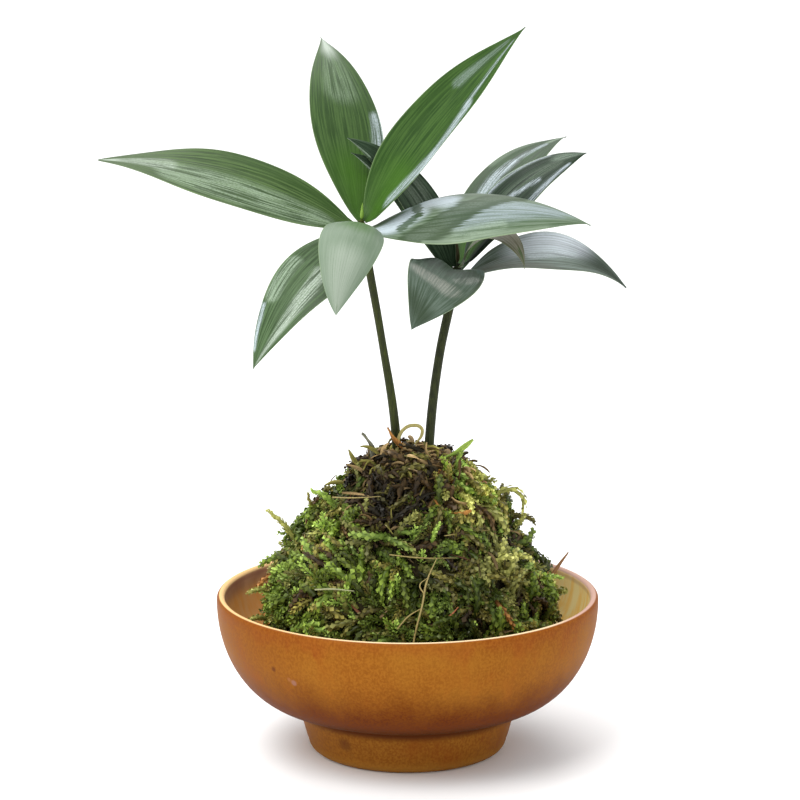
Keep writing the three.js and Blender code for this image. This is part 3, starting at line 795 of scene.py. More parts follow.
ROUND_TUFT = make_shoot(
    length=6.5, body=(0.45, 4, 3), leaves=24, leaf_length=1.55, leaf_width=1.0, angles=(60, 30),
    outline=ROUND_LEAF, taper=0.7,
)
for name, count, heights in (("tufts_low", 800, (18, 66)), ("tufts_high", 260, (62, 101))):
    grow(name, ROUND_TUFT, count, length=(5, 8.5), width=(0.85, 1.3), lie=0.8, curl=(0.2, 1.2),
         choose=tuft_kind, heights=heights, moss=LIVING)

grow_at("tufts_bright", ROUND_TUFT, (
    ("bright", (1.4, -31, 77), (0.1, -0.5, 1), (0.2, 0, 1), 8.5, 1.25, 0.4),
    ("bright", (3.5, -34, 71), (0.3, -0.7, 1), (0, 0, 1), 8, 1.2, 0.4),
    ("bright", (-3.2, -40, 63), (-0.1, -0.6, 1), (0, 0, 1), 8.5, 1.3, 0.4),
    ("bright", (-20.5, -37, 58), (0, -0.5, 1), (0.1, 0, 1), 9, 1.3, 0.3),
    ("bright", (-36, -26, 56), (-0.3, -0.5, 1), (0, 0, 1), 7.5, 1.2, 0.4),
    ("bright", (-27, -19, 80), (-0.4, -0.5, 1), (0, 0, 1), 7, 1.2, 0.6),
    ("bright", (-9, -36.5, 68), (-0.3, -0.6, 1), (0, 0, 1), 7, 1.15, 0.4),
    ("bright", (-14, -40, 50), (0.2, -1, 0.8), (0, 0, 1), 7.5, 1.2, 0.4),
    ("bright", (-5.5, -43, 52), (0.3, -1, 0.6), (0, 0, 1), 7.5, 1.2, 0.4),
    ("yellow", (-10, -43, 44), (0.1, -1, 0.8), (0, 0, 1), 7, 1.15, 0.4),
    ("bright", (20, -38, 50), (0.3, -1, 0.5), (0, 0, 1), 8, 1.25, 0.5),
    ("bright", (27, -33, 53), (0.6, -1, 0.3), (0, 0, 1), 8, 1.3, 0.5),
), LIVING)


# Worm-like shoots
# Thick, curved shoots in close scales, lying over each other. Most are olive or yellowish high on the
# right, and deep green elsewhere.

def worm_kind(places):
    """The kind of each shoot: warm colours come high and to the right, and brown ones where it is dead."""
    dead = deadness(places)
    warm = ragged_patches(places, 15 * MM, 3, 0.33)
    warm += places[:, 0] / (110 * MM) + (places[:, 2] - 68 * MM) / (90 * MM)
    thick = ragged_patches(places, 5 * MM, 9, 0.25)
    pick = chance.random(len(places))
    kinds = []
    for i in range(len(places)):
        if thick[i] < -0.75:
            kinds.append(pick_kind(pick[i], deep=0.5, brown=1))
        elif dead[i] > 0.85:
            kinds.append(pick_kind(pick[i], brown=0.5, dark=0.85, olive=1))
        elif warm[i] > 0.35:
            kinds.append(pick_kind(pick[i], yellow=0.5, olive=0.7, bright=1))
        elif warm[i] > -0.05:
            kinds.append(pick_kind(pick[i], olive=0.5, green=0.9, orange=1))
        else:
            kinds.append(pick_kind(pick[i], green=0.45, deep=0.85, olive=1))
    return kinds


WORM = make_shoot(
    length=11, body=(0.85, 6, 5), leaves=26, leaf_length=1.7, leaf_width=1.5, angles=(17, 12),
    outline=SCALE, taper=0.45,
)
for name, count, length, width, heights in (
    ("worms_low", 850, (7, 14), (0.8, 1.4), (20, 68)),
    ("worms_high", 850, (7, 14), (0.8, 1.4), (62, 101)),
    ("worms_fine", 1300, (4, 7.5), (0.4, 0.75), (22, 100)),
):
    grow(name, WORM, count, length, width, lie=1.1, curl=(1.1, 2.8), choose=worm_kind, heights=heights,
         moss=LIVING)

grow_at("worms_placed", WORM, (
    ("yellow", (-37.5, -4, 72), (-0.45, 0, 1), (-1, 0, 0), 15, 0.95, 0.55),
    ("yellow", (-31.2, -4, 80), (0.05, 0, 1), (1, 0, 0), 16, 0.9, 2.0),
    ("olive", (-31, -2, 82.5), (-0.7, 0, 0.8), (-0.4, 0, 1), 7.5, 0.6, 0.7),
    ("bright", (-24, -10, 84), (-0.1, -0.3, 1), (-1, 0, 0), 13, 1.0, 1.3),
    ("bright", (-17, -18, 88), (0.2, -0.5, -1), (-0.6, 0, 0), 14, 1.05, 0.8),
    ("olive", (-30, -12, 80), (0.3, -0.4, 1), (1, 0, 0), 14, 0.9, 1.6),
    ("olive", (-27, -15, 76), (0.4, -0.4, 1), (1, 0, 0), 12, 0.8, 1.5),
    ("yellow", (29, -4, 86), (0, 0, 1), (1, 0, -0.1), 19, 0.95, 3.6),
    ("yellow", (35, -3, 77), (1, 0, 0.6), (0, 0, 1), 7, 0.75, 0.5),
    ("bright", (16, -4, 96.5), (0.1, 0, 1), (0.3, 0, 0), 8.5, 0.8, 0.4),
    ("bright", (10, -6, 99), (1, -0.2, -0.15), (0, 0, -1), 15, 0.95, 0.5),
    ("bright", (13, -10, 98), (0.8, -0.4, -0.8), (1, 0, 0), 13, 0.9, 0.5),
    ("yellow", (24, -2, 95), (-0.3, 0, 1), (-1, 0, 0), 7, 0.8, 0.7),
    ("bright", (17, -10, 93), (0.9, -0.4, -0.9), (1, 0, 0.2), 13, 1.0, 0.5),
    ("yellow", (22, -22, 82), (0.1, -0.5, -1), (1, 0, 0), 13, 0.9, 0.6),
    ("bright", (8, -34, 79), (0, -0.3, 1), (1, 0, 0), 9, 0.75, 0.6),
    ("yellow", (29, -28, 70), (-0.3, -0.6, 1), (1, 0, 0), 10, 1.0, 2.4),
    ("yellow", (34, -22, 70), (0.1, -0.5, 1), (1, 0, -0.4), 10, 0.95, 2.4),
    ("bright", (44, -4, 60), (1, -0.1, 0.35), (0, 0, -1), 9, 0.75, 0.6),
    ("orange", (-45, -6, 62), (-0.9, -0.2, -0.2), (0, 0, -1), 8, 0.8, 0.9),
    ("yellow", (-47, -9, 57), (-0.7, -0.4, 0.4), (0, 0, -1), 8, 0.9, 0.9),
    ("yellow", (-48, -12, 48), (-0.6, -0.6, 0.5), (0, 0, -1), 8, 0.95, 0.9),
    ("bright", (-38, -31, 49), (0.75, -0.5, 0.65), (0, 0, -1), 12, 1.5, 0.5),
    ("bright", (-35, -33, 47), (0.5, -0.8, 0.5), (0, 0, -1), 9, 1.4, 0.7),
    ("bright", (-31, -37, 51), (1, -0.3, 0.2), (0, 0, -1), 9, 1.2, 0.6),
), LIVING)


# Dead moss
# Dry, curled ribbons, brown and tan, heaped round the stems on top of the ball and hanging over it.

def make_ribbon(width, thickness, twist, rings):
    """A folded, twisted ribbon that tapers to both ends: points, faces and tones, as for a shoot."""
    points = []
    tones = []
    for ring in range(rings + 1):
        along = ring / rings
        half = width / 2 * (1 - 0.6 * (1 - along) ** 4) * (1 - 0.55 * along ** 6)
        turn = twist * along
        corners = (
            (-half, 0.3 * half, 0.9), (0, thickness, 0.45), (half, 0.3 * half, 1), (0, -thickness, 0.3),
        )
        for across, over, tone in corners:
            points.append((
                across * math.cos(turn) - over * math.sin(turn),
                across * math.sin(turn) + over * math.cos(turn),
                along,
            ))
            tones.append(tone * (0.6 + 0.4 * along))
    faces = [(0, 1, 2, 3)]
    for ring in range(rings):
        for corner in range(4):
            first = ring * 4 + corner
            second = ring * 4 + (corner + 1) % 4
            faces.append((first, second, second + 4, first + 4))
    last = rings * 4
    faces.append((last + 3, last + 2, last + 1, last))
    return np.array(points), np.array(faces), np.array(tones)


def dead_kind(places):
    """The kind of each ribbon: paler along the top, and few outside the dead moss."""
    dead = deadness(places) + 0.15 * chance.normal(0, 1, len(places))
    pick = chance.random(len(places))
    kinds = []
    for i in range(len(places)):
        if dead[i] <= 0.8:
            kinds.append(pick_kind(pick[i], tan=0.04, rust=0.07, brown=0.12))
        elif places[i][2] > 96 * MM:
            kinds.append(pick_kind(pick[i], tan=0.42, olive=0.7, brown=0.95, dark=1))
        else:
            kinds.append(pick_kind(pick[i], tan=0.12, olive=0.2, brown=0.7, dark=1))
    return kinds


DEAD = (moss_skin("dry_moss", 0.6, 0.8), "moss_crown", "dead_moss")
WIDE_RIBBON = make_ribbon(width=1.9, thickness=0.3, twist=2.4, rings=8)
NARROW_RIBBON = make_ribbon(width=1.0, thickness=0.25, twist=3.0, rings=7)
for name, ribbon, count, length, lie, heights in (
    ("dead_ribbons", WIDE_RIBBON, 1100, (4, 8), 0.9, (76, 102.3)),
    ("dead_strands", NARROW_RIBBON, 1400, (4, 10), 0.9, (70, 102.3)),
    ("dead_spikes", WIDE_RIBBON, 260, (6, 9), 0.35, (95, 102.3)),
    ("dead_litter", WIDE_RIBBON, 800, (4, 9), 0.9, (24, 80)),
):
    grow(name, ribbon, count, length, width=(0.6, 1.2), lie=lie, curl=(1.0, 3.6), choose=dead_kind,
         heights=heights, moss=DEAD)

grow_at("dead_ribbons_placed", WIDE_RIBBON, (
    ("tan", (6, -5, 101.5), (-0.7, -0.1, 1), (-1, 0, 0), 9, 0.9, 1.0),
    ("tan", (2, -6, 101.5), (0.8, -0.2, 1), (1, 0, 0), 8, 0.9, 0.9),
    ("tan", (-8, -6, 100.5), (-0.4, -0.2, 1), (1, 0, 0), 8, 1.0, 1.2),
    ("orange", (0, -4.5, 104.5), (-0.85, 0, 0.6), (0, 0, 1), 10.5, 1.2, 0.5),
    ("grey", (-11.8, -4.5, 100.5), (0.15, 0, 1), (-1, 0, 0), 11, 1.5, 1.0),
    ("olive", (-8.5, -6, 102), (-0.5, 0, 1), (-1, 0, 0), 9, 0.8, 1.2),
    ("olive", (-15, -6, 99), (-0.9, 0, 0.5), (0, 0, 1), 8, 0.9, 0.8),
    ("olive", (-20, -6, 93.5), (-1, -0.1, 0.3), (0, 0, -1), 8, 0.9, 0.7),
    ("tan", (-22, -14, 92), (1, -0.3, 0.15), (0, -0.2, -1), 15, 0.8, 0.5),
    ("brown", (-12, -16, 93), (-0.2, -0.5, -1), (-1, 0, 0), 13, 1.0, 0.6),
    ("tan", (-13, -21, 86), (-0.4, -0.5, -1), (-1, 0, 0), 10, 0.8, 0.5),
    ("orange", (9, -24, 92), (0.5, -0.3, -0.9), (1, 0, 0.4), 14, 1.0, 1.6),
    ("tan", (22, -20, 90), (-1, -0.4, -0.3), (0, 0, 1), 9, 0.8, 1.2),
    ("orange", (24, -19, 86), (0.1, -0.5, -1), (0, -1, 0), 14, 1.1, 0.5),
    ("bright", (11, -4, 101.5), (1, 0, 0.35), (0, 0, 1), 13, 1.1, 0.4),
    ("tan", (9, -8, 101.5), (-0.7, -0.3, 0.4), (0, 0, 1), 8, 0.8, 1.4),
    ("orange", (-31, -22, 71), (1, -0.5, 0.2), (0, 0, 1), 10, 0.75, 0.6),
    ("orange", (-18, -33, 70), (1, -0.3, 0.4), (0, 0, -1), 9, 0.8, 1.0),
    ("rust", (-21.5, -36, 65), (0.55, -0.45, -0.85), (1, 0, 0), 15, 1.0, 0.3),
    ("rust", (-24, -33, 69), (0.3, -0.4, -1), (-1, 0, 0), 9, 0.9, 0.5),
), DEAD)


# Fibres and twigs
# A few long, thin stalks and bits of twig lie over the moss, and one twig stands out over the lip.

def draw_tube(name, path, girths, radius, steps, roundness):
    """A round tube along a smooth curve through these places, with its girth, a share of radius, at each."""
    deselect_all()
    bpy.ops.curve.primitive_bezier_curve_add()
    piece = bpy.context.object
    piece.name = name
    spline = piece.data.splines[0]
    spline.bezier_points.add(len(path) - len(spline.bezier_points))
    for point, place, girth in zip(spline.bezier_points, path, girths):
        point.co = place
        point.handle_left_type = point.handle_right_type = "AUTO"
        point.radius = girth
    piece.data.resolution_u = steps
    piece.data.bevel_depth = radius
    piece.data.bevel_resolution = roundness
    piece.data.use_fill_caps = True
    bpy.ops.object.convert(target="MESH")
    return bpy.context.object


FIBRE_END_GIRTH = 0.4


def add_fibre(name, path, radius, tint, node="moss_coat"):
    """A thin stalk through places in millimetres, thinner at its far end."""
    places = [Vector(place) * MM for place in path]
    girths = [1] * (len(path) - 1) + [FIBRE_END_GIRTH]
    piece = draw_tube(name, places, girths, radius * MM, steps=10, roundness=1)
    skin = new_material(name + "_skin", Specular_IOR_Level=0.35)
    fine = grain(skin, object_place(skin), 900, 3, 0.6)
    darker = tuple(value * 0.55 for value in tint[:3]) + (1,)
    to_shader(skin, "Base Color", mix(skin, fine, darker, tint))
    to_shader(skin, "Roughness", spread(skin, fine, 0.3, 0.7, 0.5, 0.75))
    piece.data.materials.append(skin)
    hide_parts(node)
    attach(piece, "root")


STALK = colour(168, 150, 92)
PALE_STALK = colour(170, 172, 128)
TWIG = colour(150, 106, 66)
RUSSET = colour(178, 106, 68)
for name, path, radius, tint in (
    ("fibre_long", (
        (1.8, -49.5, 50), (2.3, -49.2, 53), (4.8, -47.4, 63), (6.0, -44.5, 69), (9.4, -39.5, 76),
    ), 0.32, STALK),
    ("fibre_branch", ((-3.4, -49.6, 55), (0.2, -48.8, 59), (4.6, -47.6, 61.5)), 0.24, STALK),
    ("fibre_upper", ((5.2, -46.6, 66), (3.9, -45.4, 68.5), (6.2, -44.0, 70.5)), 0.22, STALK),
    ("fibre_pale", ((-30.5, -35.5, 64.4), (-24.5, -38.6, 65.4), (-17.5, -41.8, 65.6)), 0.3, PALE_STALK),
    ("twig_russet", ((10.6, -48.2, 56.4), (13.6, -47.2, 58.6), (16.4, -45.5, 61.2)), 0.36, RUSSET),
    ("twig_right", ((43.5, -4, 52.5), (47.2, -2.5, 57.5), (51, -2, 63.5), (54.6, -2, 68.6)), 0.62, TWIG),
    ("fibre_left", ((-47.5, -14, 43), (-52, -13, 47.2), (-55.5, -12, 44)), 0.3, colour(196, 150, 104)),
    ("fibre_top", ((-25, -16, 91), (-18, -21, 92), (-9, -25.5, 93.5)), 0.24, STALK),
    ("fibre_right", ((12, -33, 82), (20, -29.5, 82.3), (27, -25, 82)), 0.2, STALK),
    ("fibre_cross", ((-6, -38.5, 77), (4, -39.5, 76.2), (16, -35, 75)), 0.2, STALK),
):
    add_fibre(name, path, radius, tint)

loop_path = (
    (-3.6, -4, 104), (-2.8, -4, 109.2), (-0.9, -4, 112), (1.7, -4, 113), (4.5, -4, 112.2),
    (4.8, -4, 110), (2.4, -4, 106.5),
)
add_fibre("dead_loop", loop_path, 0.65, colour(182, 170, 104), "moss_crown")


# Stems
# Each seedling stands on one bare, woody stem, which leans outwards, thins upwards and swells a little
# at the head that carries the leaves. It is a round tube along a smooth curve.

STEM_RADIUS = 1.65 * MM
HEAD_RADIUS = 1.85 * MM
HEAD_LENGTH = 2.6 * MM
HEAD_END_GIRTH = 0.55
SWELLING_LENGTH = 9 * MM

# Foot, entry into the moss, collar, middle and head, each with the stem's girth there
STEMS = {
    "left": (
        ((-3.2, 1, 62), 1), ((-3.2, 1, 87.3), 1), ((-4.1, 0, 110.6), 0.95),
        ((-8.6, -4, 142), 0.78), ((-15.1, -12, 181), 0.85),
    ),
    "right": (
        ((6.8, 1.5, 62), 1), ((6.8, 1.5, 87.3), 1.05), ((7.3, 2, 105), 1),
        ((10.5, 6, 133.5), 0.92), ((16.7, 12, 163), 0.95),
    ),
}


def make_stem(side):
    """A tube that swells over its last stretch, into the head."""
    path = [Vector(place) * MM for place, _ in STEMS[side]]
    girths = [girth for _, girth in STEMS[side]]
    upward = (path[-1] - path[-2]).normalized()
    path.append(path[-1] + upward * HEAD_LENGTH)
    path.insert(-2, path[-2] - upward * SWELLING_LENGTH)
    girths += [HEAD_RADIUS / STEM_RADIUS, HEAD_END_GIRTH]
    return draw_tube("stem_" + side + "_bark", path, girths, STEM_RADIUS, steps=20, roundness=6)


def bark(name, dark, light):
    material = new_material(name, Specular_IOR_Level=0.2)
    place = object_place(material)
    streak = grain(material, stretched(material, place, (1, 1, 0.1)), 1500, 3, 0.6)
    patch = grain(material, place, 160, 2)
    tone = mix(material, spread(material, streak, 0.3, 0.7), dark, light)
    tone = mix(material, spread(material, patch, 0.45, 0.7, 0, 0.5), tone, dark)
    to_shader(material, "Base Color", tone)
    to_shader(material, "Roughness", spread(material, streak, 0.3, 0.7, 0.45, 0.65))
    bump(material, streak, 0.12 * MM, 0.6)
    return material


for side, dark, light in (
    ("left", colour(32, 38, 8), colour(58, 66, 18)),
    ("right", colour(28, 33, 12), colour(54, 60, 28)),
):
    stem = make_stem(side)
    stem.data.materials.append(bark(side + "_stem_bark", dark, light))
    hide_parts("stem_" + side)
    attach(stem, "root")


# Leaves
# Thin, tough blades with many fine ribs that run from the neck to the tip, and a waxy skin. Each is a
# grid laid along the leaf's own curve and given its thickness, thinner towards the margins.

LEAF_ROWS = 52
LEAF_COLUMNS = 30
LEAF_THICKNESS = 0.5 * MM
LEAF_NECK = 1.5 * MM
LEAF_POINT = 0.12 * MM
LEAF_MARGIN_THINNESS = 0.3
LEAF_TIP_THINNESS = 0.4
LEAF_SEAT_THICKNESS = 0.7 * MM
LEAF_GAP = 0.3 * MM
LEAF_SUNK = 0.6 * MM
LEAF_SUNK_SHARE = 0.035
DROOP_POWER = 1.3
RIB_DEPTH = 0.035 * MM
WAVE_DEPTH = 0.3 * MM

Leaf = namedtuple("Leaf", (
    "side", "seat", "lift", "azimuth", "swing", "rise", "droop", "roll", "twist", "trough", "length", "width",
    "base_slimness", "tip_slimness",
))

# Azimuth and height of the seat, azimuth and its swing, rise and its droop, roll and its twist, depth of
# the trough, length and width in millimetres, and slimness towards the base and the tip
LEAF_SIZES = {
    "left_plant_back_leaf": (110, 1.5, 100, 4, 60.5, 47.5, 20, -16, -0.05, 90, 25.5, 0.95, 1.35),
    "left_plant_upright_leaf": (25, 1.8, 353.5, 5, 56, 10.5, 35.5, 18.5, 0.4, 82, 24, 0.65, 1.15),
    "left_plant_side_leaf": (190, 0, 184, -16, 26.5, 28, -58.5, 52, 0.04, 88.5, 25.5, 0.95, 0.8),
    "left_plant_front_leaf": (268, 0.2, 270.5, -20, 20.4, 96.6, -6.4, -21.4, -0.26, 63.5, 20, 0.8, 0.9),
    "left_plant_low_leaf": (232, -2, 245.5, -13.5, -10, 44, -39, 54, 0.01, 73.5, 22, 0.95, 1),
    "left_plant_crossing_leaf": (320, -0.8, 346.5, 20.5, 24, 51, 29.5, -13.5, -0.35, 76, 30, 0.95, 1.15),
    "right_plant_arching_leaf": (215, 1.8, 206.5, -2.5, 70, 46, 63, 33, -0.08, 60.5, 12, 0.65, 1),
    "right_plant_under_leaf": (150, -0.6, 208.5, -1, 68.5, 45.5, 58.5, 45, 0.01, 58, 10.5, 0.95, 1.15),
    "right_plant_back_leaf": (65, -0.4, 73.5, -28, 43.5, 38, 6.5, -3, 0.03, 87, 19, 0.95, 1),
    "right_plant_upright_leaf": (12, 1.9, 9.5, 3, 65, 54.5, 18, 10, -0.03, 58.5, 22, 0.95, 1.15),
    "right_plant_side_leaf": (338, -2.4, 338, 33.5, 30, 75, 17, 19.5, 0.24, 60, 22, 0.95, 1.35),
    "right_plant_front_leaf": (260, -1, 267.5, -21.4, 18, 55.5, 13.4, -72, 0.03, 71.5, 24.5, 0.8, 1),
    "right_plant_short_leaf": (300, 1.4, 311.5, 3, 69.5, 150, 46.5, -53, -0.02, 41.5, 12.5, 0.95, 1.35),
}
LEAVES = {name: Leaf(name.split("_")[0], *sizes) for name, sizes in LEAF_SIZES.items()}

# The right plant's front leaf is heart-shaped. Its left half is rounder, with its corner cut off, and a
# shoulder stands up there. Their places and lengths are shares of the leaf's length or half width.
HEART_LEAF = "right_plant_front_leaf"
HEART_BASE = 0.5
HEART_TIP = 0.75
SHOULDER_HEIGHT = 3 * MM
SHOULDER_LENGTH = 0.55
SHOULDER_WIDTH = 1.05
CORNER_CUT = 0.14
CORNER_PLACE = 0.3
CORNER_LENGTH = 0.12


def leaf_directions(leaf, share):
    """Directions along, across and above the leaf at shares of its length."""
    heading = np.radians(leaf.azimuth + leaf.swing * share)
    climb = np.radians(leaf.rise - leaf.droop * share ** DROOP_POWER)
    along = np.stack([
        np.cos(heading) * np.cos(climb), np.sin(heading) * np.cos(climb), np.sin(climb),
    ], axis=-1)
    level = np.stack([-np.sin(heading), np.cos(heading), np.zeros_like(heading)], axis=-1)
    upright = np.cross(along, level)
    turn = np.radians(leaf.roll + leaf.twist * share)[..., None]
    across = level * np.cos(turn) + upright * np.sin(turn)
    above = upright * np.cos(turn) - level * np.sin(turn)
    return along, across, above


def leaf_half_width(leaf, share):
    """Half the width at shares of the length: a blade that swells and tapers, joined to a short neck."""
    base = leaf.base_slimness
    tip = leaf.tip_slimness
    widest = base / (base + tip)
    full = widest ** base * (1 - widest) ** tip
    blade = leaf.width * MM / 2 * share ** base * (1 - share) ** tip / full
    return np.maximum(blade + LEAF_NECK / 2 * (1 - share) ** 6, LEAF_POINT)


def leaf_middle(leaf):
    """The middle line of a leaf, a point for each row, starting inside the head of its stem."""
    seat = math.radians(leaf.seat)
    outward = np.array([math.cos(seat), math.sin(seat), 0])
    _, across, above = leaf_directions(leaf, np.array(0.0))
    reach = LEAF_NECK / 2 * abs(across @ outward) + LEAF_SEAT_THICKNESS / 2 * abs(above @ outward)
    head = (np.array(STEMS[leaf.side][-1][0]) + (0, 0, leaf.lift)) * MM
    start = head + outward * (HEAD_RADIUS + LEAF_GAP + reach)
    halves = (np.arange(LEAF_ROWS) + 0.5) / LEAF_ROWS
    steps = leaf_directions(leaf, halves)[0] * (leaf.length * MM / LEAF_ROWS)
    line = start + np.vstack([np.zeros(3), np.cumsum(steps, axis=0)])
    rows = np.arange(LEAF_ROWS + 1) / LEAF_ROWS
    sunk = ramp(rows, LEAF_SUNK_SHARE, 0)[:, None]
    return line - outward * sunk * (LEAF_GAP + reach + LEAF_SUNK)


def make_leaf(name, leaf, phase):
    deselect_all()
    bpy.ops.mesh.primitive_grid_add(x_subdivisions=LEAF_ROWS, y_subdivisions=LEAF_COLUMNS, size=1)
    piece = bpy.context.object
    piece.name = name.replace("leaf", "blade")
    flat = coordinates_of(piece)
    share = flat[:, 0] + 0.5
    beside = flat[:, 1] * 2
    row = np.rint(share * LEAF_ROWS).astype(int)
    _, across, above = leaf_directions(leaf, share)
    half = leaf_half_width(leaf, share)
    shoulder = np.zeros_like(share)
    if name == HEART_LEAF:
        rounder = leaf._replace(base_slimness=HEART_BASE, tip_slimness=HEART_TIP)
        corner = 1 - CORNER_CUT * np.exp(-((share - CORNER_PLACE) / CORNER_LENGTH) ** 2)
        half = np.where(beside < 0, leaf_half_width(rounder, share) * corner, half)
        along_shoulder = np.sin(math.pi * ramp(share, 0, SHOULDER_LENGTH)) ** 2
        across_shoulder = np.sin(math.pi * ramp(-beside, 0, SHOULDER_WIDTH))
        shoulder = SHOULDER_HEIGHT * along_shoulder * across_shoulder
    # Three sets of ribs, from broad to fine, which die out on the narrow neck
    ribs = np.cos(beside * 9.2 + phase) + 0.7 * np.cos(beside * 16.7 - 2 * phase)
    ribs = (ribs + 0.4 * np.cos(beside * 27 + phase)) * RIB_DEPTH * ramp(half, 0, 8 * MM)
    waves = WAVE_DEPTH * np.sin(2 * math.pi * (2.2 * share + phase)) * beside ** 3 * ramp(share, 0, 1 / 6)
    height = beside ** 2 * leaf.trough * half + ribs + waves
    points = leaf_middle(leaf)[row] + across * (beside * half)[:, None] + above * height[:, None]
    points[:, 2] += shoulder
    piece.data.vertices.foreach_set("co", points.ravel())
    piece.data.update()
    body = piece.vertex_groups.new(name="thickness")
    thick = np.clip(1.05 - np.abs(beside) ** 6, LEAF_MARGIN_THINNESS, 1)
    thick *= np.clip(1.1 - share ** 12, LEAF_TIP_THINNESS, 1)
    for index, weight in enumerate(thick):
        body.add([index], float(weight), "REPLACE")
    bpy.ops.object.modifier_add(type="SOLIDIFY")
    solid = piece.modifiers[-1]
    solid.thickness = LEAF_THICKNESS
    solid.offset = 0
    solid.vertex_group = "thickness"
    bpy.ops.object.modifier_apply(modifier=solid.name)
    bpy.ops.object.shade_smooth_by_angle(angle=math.radians(60))
    return piece


def patch_mask(material, flat, start, end, reach, ragged, edge):
    """1 near the line between two points of the flattened leaf, falling to 0 at a ragged edge."""
    run = tuple(b - a for a, b in zip(start, end))
    square = sum(value * value for value in run)
    apart = add_node(material, "VectorMath", {0: flat, 1: start}, operation="SUBTRACT").outputs[0]
    dot = add_node(material, "VectorMath", {0: apart, 1: run}, operation="DOT_PRODUCT").outputs["Value"]
    share = add_node(material, "Math", {0: dot, 1: square}, operation="DIVIDE", use_clamp=True).outputs[0]
    nearest = add_node(material, "VectorMath", {0: run, "Scale": share}, operation="SCALE").outputs[0]
    away = calculate(material, "ADD", distance(material, apart, nearest), ragged)
    return spread(material, away, reach, reach * edge)


# How much of a patch's reach is at full strength, for each kind of edge. The ribs break up a BROKEN one.
SOFT = 0.1
BROKEN = 0.45
FIRM = 0.75
VEIN_SPACING = 1.0
VEIN_STRENGTH = 0.42
PALE_MARGIN = colour(140, 160, 116)


def leaf_skin(name, leaf, deep, fresh, bloom_and_light_patches):
    """Waxy leaf skin: ribs, streaks and fine dark veins, patches of waxy bloom and of painted highlight,
    sheen and shadow, and a thin pale margin.
    """
    material = new_material(name, Specular_IOR_Level=0.15)
    length = leaf.length
    width = leaf.width
    place = add_node(material, "UVMap", {}, uv_map="UVMap").outputs["UV"]
    across = add_node(material, "SeparateXYZ", {"Vector": place}).outputs["Y"]
    settings = {"Vector": place, "Location": (0, -width / 2, 0), "Scale": (length, width, 1)}
    flat = add_node(material, "Mapping", settings).outputs[0]
    ribs = grain(material, stretched(material, flat, (0.04, 1.1, 1)), 1, 3, 0.6)
    threads = grain(material, stretched(material, flat, (0.07, 2.6, 1)), 1, 2, 0.5)
    specks = grain(material, stretched(material, flat, (0.8, 1.6, 1)), 1.6, 2, 0.6)
    cloud = grain(material, flat, 0.09, 2, 0.5)
    tone = tinge(material, deep, fresh, ribs, 0.42, 0.58)
    tone = tinge(material, tone, deep, threads, 0.52, 0.62, 0.45)
    tone = tinge(material, tone, fresh, cloud, 0.4, 0.7, 0.3)

    # Patches: waxy bloom, painted highlights and sheen, and painted shadows
    streaked = spread(material, ribs, 0.4, 0.52, 0.15, 1)
    fine_streaked = spread(material, threads, 0.38, 0.52, 0.5, 1)
    grained = spread(material, specks, 0.36, 0.56, 0.45, 1)
    broken = product(material, streaked, product(material, fine_streaked, grained))
    both = calculate(material, "ADD", ribs, threads)
    ragged = product(material, calculate(material, "SUBTRACT", both, 1.0), 4)
    for start, end, reach, edge, strength, tint in bloom_and_light_patches:
        start = (start[0] * length, start[1] * width / 2, 0)
        end = (end[0] * length, end[1] * width / 2, 0)
        mask = patch_mask(material, flat, start, end, reach, ragged, edge)
        if edge == BROKEN:
            mask = product(material, mask, broken)
        tone = mix(material, product(material, mask, strength), tone, colour(*tint))

    # Veins and margin
    wander = calculate(material, "ADD", product(material, across, width / VEIN_SPACING), ribs)
    from_vein = calculate(material, "PINGPONG", wander, 0.5)
    speckled = spread(material, specks, 0.3, 0.6, 0.3, 1)
    vein = product(material, spread(material, from_vein, 0.2, 0.03), speckled)
    tone = mix(material, product(material, vein, VEIN_STRENGTH), tone, deep)
    from_middle = calculate(material, "ABSOLUTE", calculate(material, "SUBTRACT", across, 0.5))
    tone = tinge(material, tone, PALE_MARGIN, from_middle, 0.484, 0.498, 0.45)
    to_shader(material, "Base Color", tone)
    to_shader(material, "Roughness", spread(material, ribs, 0.3, 0.7, 0.36, 0.52))
    bump(material, mix(material, 0.4, ribs, threads), 0.16 * MM, 0.8)
    return material


# Each leaf has a deep and a fresh green, and its patches. A patch lies along the line between two points,
# each a share of the length and of the half width, and has a reach in millimetres, an edge, a strength
# and a tint. Most patches are painted light: pale painted highlights and sheen where the waxy skin reflects
# the light, vivid green at the bases, partly their own colour and partly painted light shining through,
# and dark painted shadows cast by other leaves. The pale greens of the front, crossing and right side
# leaves are partly their waxy bloom and partly painted sheen.
# The first tint is a painted highlight, and SAGE and PALE are mostly painted sheen. VIVID is partly painted
# light shining through the leaf bases.
GLOSS_HIGHLIGHT = (196, 208, 216)
SAGE = (160, 178, 156)
PALE = (182, 194, 180)
GREY = (128, 138, 126)
DUSK = (44, 62, 34)
VIVID = (66, 108, 24)
TAUPE = (98, 92, 72)

